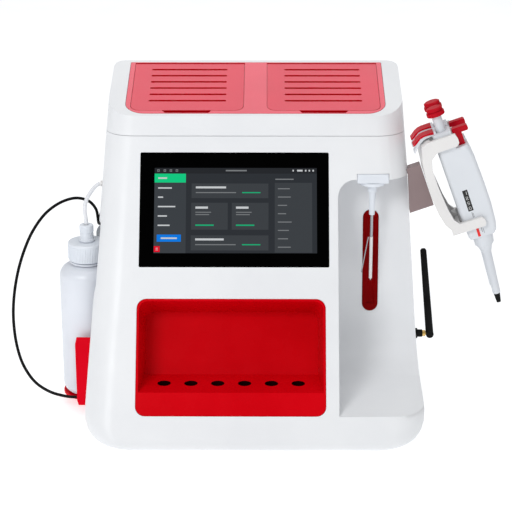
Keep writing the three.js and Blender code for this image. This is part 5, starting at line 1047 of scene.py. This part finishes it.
# %% Cap and gland
cap_profile = rounded_profile(
    [(16.7, 163), (20.9, 163), (20.9, 183.6), (4, 183.6), (4, 180.7), (16.7, 180.7), (16.7, 163)], 1.4
)
turned("screw_cap", "bottle_cap", cap_profile, cap_white)
gland_profile = rounded_profile(
    [
        (2.5, 180.6),
        (3.7, 180.6),
        (3.7, 183.9),
        (9, 183.9),
        (9, 186.6),
        (7.5, 186.6),
        (7.5, 192.6),
        (6.9, 193.4),
        (7.5, 194.2),
        (7.5, 202.8),
        (2.5, 202.8),
        (2.5, 180.6),
    ],
    1.2,
)
turned("tube_gland", "cap_gland", gland_profile, cap_white)

# %% Tree: ribs round a circle
ribs, ribs_in, ribs_out = new_group(
    "ribs round a circle",
    "GeometryNodeTree",
    [
        ("Geometry", SHAPE, None),
        ("Count", COUNT, 60),
        ("Radius", FLOAT, 0.02),
        ("Rib Radius", FLOAT, 0.0006),
        ("Rib Height", FLOAT, 0.018),
        ("Finish", FINISH, None),
    ],
    [("Geometry", SHAPE)],
)
ring = put(ribs, "GeometryNodeMeshCircle")
ribs.links.new(ribs_in.outputs["Count"], ring.inputs["Vertices"])
ribs.links.new(ribs_in.outputs["Radius"], ring.inputs["Radius"])
rib = put(ribs, "GeometryNodeMeshCylinder", {"Vertices": 8})
ribs.links.new(ribs_in.outputs["Rib Radius"], rib.inputs["Radius"])
ribs.links.new(ribs_in.outputs["Rib Height"], rib.inputs["Depth"])
copies_on(
    ribs, ring.outputs["Mesh"], rib.outputs["Mesh"], ribs_in.outputs["Finish"], ribs_out.inputs["Geometry"]
)


# %% Grip ribs of the cap and the gland
def rib_sizes(count, radius, rib_radius, height, finish):
    return {
        "Count": count,
        "Radius": radius * MM,
        "Rib Radius": rib_radius * MM,
        "Rib Height": height * MM,
        "Finish": finish,
    }


for name, middle, sizes in (
    ("cap_ribs", 172.6, rib_sizes(72, 20.85, 0.55, 15.8, cap_white)),
    ("gland_ribs", 198.2, rib_sizes(28, 7.45, 0.35, 6.5, cap_white)),
):
    raised = Matrix.Translation(BOTTLE_AXIS + Vector((0, 0, middle * MM)))
    grown(name, ribs, sizes, raised, "analyzer")

# %% [markdown]
# ## Left side fittings
# The red holder, the grey strip behind the bottle, the tube's fitting and the cable's plug and
# socket are small mouldings. Their solid shapes are right already, so they only need a little
# rounding, with a smaller radius on the smaller pieces.

# %% Holder, strip, fitting and plugs
dressed("bottle_holder", holder_red, round_mm=0.7)
dressed("holder_backplate", grey_plastic, round_mm=0.5)
dressed("dip_tube", tube_milk, angle=50)
dressed("tube_fitting", warm_white, round_mm=0.25)
dressed("sensor_plug", black_plastic, round_mm=0.6)
dressed("sensor_socket", black_plastic, round_mm=0.5)

# %% [markdown]
# ## Antenna
# The antenna screws into the side wall. Its connector is black, its folding joint is gold plated,
# and its mast is black rubber that leans a little. The three stay apart, because the joint swivels
# on the connector and the mast folds on the joint.

# %% Antenna
dressed("antenna_connector", black_plastic, round_mm=0.25)
dressed("antenna_base", gold, round_mm=0.2)
dressed("antenna_rod", rubber_black, round_mm=0.4)

# %% [markdown]
# ## Pipettes
# Two hand pipettes hang in a white cradle on a mauve arm. The grips are light grey. The plunger
# caps and ejectors are dark red, a black window shows the set volume, and a red mark tells the
# size. Pieces on a pipette are drawn in the pipettes' own frame, across and down from the top. The
# two pipettes are alike, so one loop makes both.

# %% Places on the pipettes
PIPETTE_Y = (149.8, 177.0)
TIP_DROP, STEM_DROP = 230, 13
TRIM_WIDTH, WINDOW_FORWARD, KNURL_ASIDE = 15.8, 12, -0.8
print("pipettes at depth", PIPETTE_Y, "mm")


def drop_of(point):
    return -(PIPETTES.inverted() @ point).z / MM


# %% Finger trim: an outline made thick
FINGER_TRIM = (
    (-9.5, 27.7),
    (-20.2, 27.8),
    (-24.7, 28.6),
    (-29.0, 30.8),
    (-32.0, 33.3),
    (-34.7, 35.1),
    (-34.4, 36.2),
    (-31.3, 35.2),
    (-28.0, 32.8),
    (-24.5, 30.4),
    (-20.4, 29.5),
    (-15.7, 29.5),
    (-9.5, 30.2),
)


def outline_piece(name, points, matrix, depth, material, body):
    shape = bmesh.new()
    sides = []
    for y in (-depth / 2, depth / 2):
        sides.append([shape.verts.new(matrix @ (Vector((a, y, -t)) * MM)) for a, t in points])
    shape.faces.new(sides[0])
    shape.faces.new(list(reversed(sides[1])))
    count = len(points)
    for i in range(count):
        j = (i + 1) % count
        shape.faces.new([sides[0][j], sides[0][i], sides[1][i], sides[1][j]])
    bmesh.ops.recalc_face_normals(shape, faces=shape.faces)
    mesh = mesh_from(name, shape)
    smoothed(mesh, 40)
    print(name, "has", count, "corners")
    return piece(name, mesh, body, [material])


# %% Figures from seven bars
SEGMENTS = {0: "abcdef", 1: "bc", 2: "abged", 5: "afgcd"}
STROKE = 0.55


def figure_bars(figure, x, y, width, height, material):
    right, middle, top = x + width, y + height / 2, y + height
    places = {
        "a": (x, right, top - STROKE, top),
        "b": (right - STROKE, right, middle, top),
        "c": (right - STROKE, right, y, middle),
        "d": (x, right, y, y + STROKE),
        "e": (x, x + STROKE, y, middle),
        "f": (x, x + STROKE, middle, top),
        "g": (x, right, middle - STROKE / 2, middle + STROKE / 2),
    }
    return [(*places[segment], 1, material) for segment in SEGMENTS[figure]]


# %% Cradle, arm and grips
dressed("pipette_bracket", arm_mauve, round_mm=0.5)
dressed("pipette_cradle", warm_white, round_mm=2.2, steps=4, angle=40)
for letter in "ab":
    grip = dressed(f"pipette_{letter}_body", pipette_grey, round_mm=0.4, angle=40)
    recolour(grip, black_plastic, lambda face: drop_of(face.center) > TIP_DROP)
    plunger = dressed(f"pipette_{letter}_plunger", pipette_red, round_mm=0.4, angle=35)
    recolour(plunger, pipette_grey, lambda face: drop_of(face.center) > STEM_DROP)
    dressed(f"pipette_{letter}_ejector", pipette_red, round_mm=1.4, steps=3)

# %% Window, figures and marks of one pipette
marks = [(0.0, 5.7, -124.7, -100.0, 0, window_black)]
for row, figure in enumerate((1, 2, 5, 0)):
    marks += figure_bars(figure, 1.5, -105.6 - row * 5.9, 2.6, 3.8, mark_white)
marks += [(2.6, 3.4, -133.0, -126.6, 0, mark_grey), (3.9, 4.4, -133.0, -127.6, 0, mark_grey)]
marks += [(1.7, 4.6, -156.0, -145.8, 0, mark_red)]
marks += [(7.2, 7.9, -152.0, -146.6, 0, mark_grey), (9.0, 9.6, -153.6, -147.8, 0, mark_grey)]
print("marks on each pipette:", len(marks))

# %% Knurls, finger trims and marks
UPRIGHT_PLATE = Matrix.Rotation(math.pi / 2, 4, "X")
for letter, axis_y in zip("ab", PIPETTE_Y):
    for name, drop, radius, height in (("upper", 5.6, 8.5, 2.6), ("lower", 10.2, 9.6, 3.6)):
        grown(
            f"pipette_{letter}_knurl_{name}",
            ribs,
            rib_sizes(44, radius, 0.32, height, pipette_red),
            PIPETTES @ Matrix.Translation(Vector((KNURL_ASIDE, axis_y, -drop)) * MM),
            f"pipette_{letter}_plunger",
        )
    on_axis = PIPETTES @ Matrix.Translation((0, axis_y * MM, 0))
    trim = f"pipette_{letter}_finger_trim"
    outline_piece(trim, FINGER_TRIM, on_axis, TRIM_WIDTH, pipette_red, f"pipette_{letter}")
    front = PIPETTES @ Matrix.Translation((0, (axis_y - WINDOW_FORWARD) * MM, 0)) @ UPRIGHT_PLATE
    plates(f"pipette_{letter}_marks", marks, front, f"pipette_{letter}", 0.02, 0.08)

# %% [markdown]
# ## Back, base and inside
# The parts that the housing hides, and the small ones on the back, are good enough as they are. The
# solids themselves get a finish, which costs no new mesh.

# %% Hidden and rear parts
painted(black_plastic, "display_panel", "key_switch", "fan_frame", "fan_rotor", "power_inlet")
painted(black_plastic, "switch_bezel", "power_switch", "port_block")
painted(zinc, "base_plate", "pump_motor", "power_supply")
painted(rubber_black, "foot_front_left", "foot_front_right", "foot_rear_left", "foot_rear_right")
painted(grey_plastic, "photometer_block", "pump_head")
painted(warm_white, "pump_rotor", "reagent_pack_left", "reagent_pack_right")
painted(steel, "lid_pin_left", "lid_pin_right")
painted(board_green, "main_board")

# %% [markdown]
# ## Floor finish
# The floor is pale and almost even, with a faint change of tone, so that it doesn't draw the eye.
# It glows softly, as a light table does. So it looks white while it throws little of the object's
# red back, and it lifts the lower edge of the housing.

# %% Floor material
floor_paint = plastic("floor_paint", (0.60, 0.60, 0.60), (0.64, 0.64, 0.64), (0.6, 0.8), specular=0.1)
floor_shader = floor_paint.node_tree.nodes["Principled BSDF"]
floor_shader.inputs["Emission Color"].default_value = DAYLIGHT
floor_shader.inputs["Emission Strength"].default_value = 0.64
floor_mesh.materials.append(floor_paint)
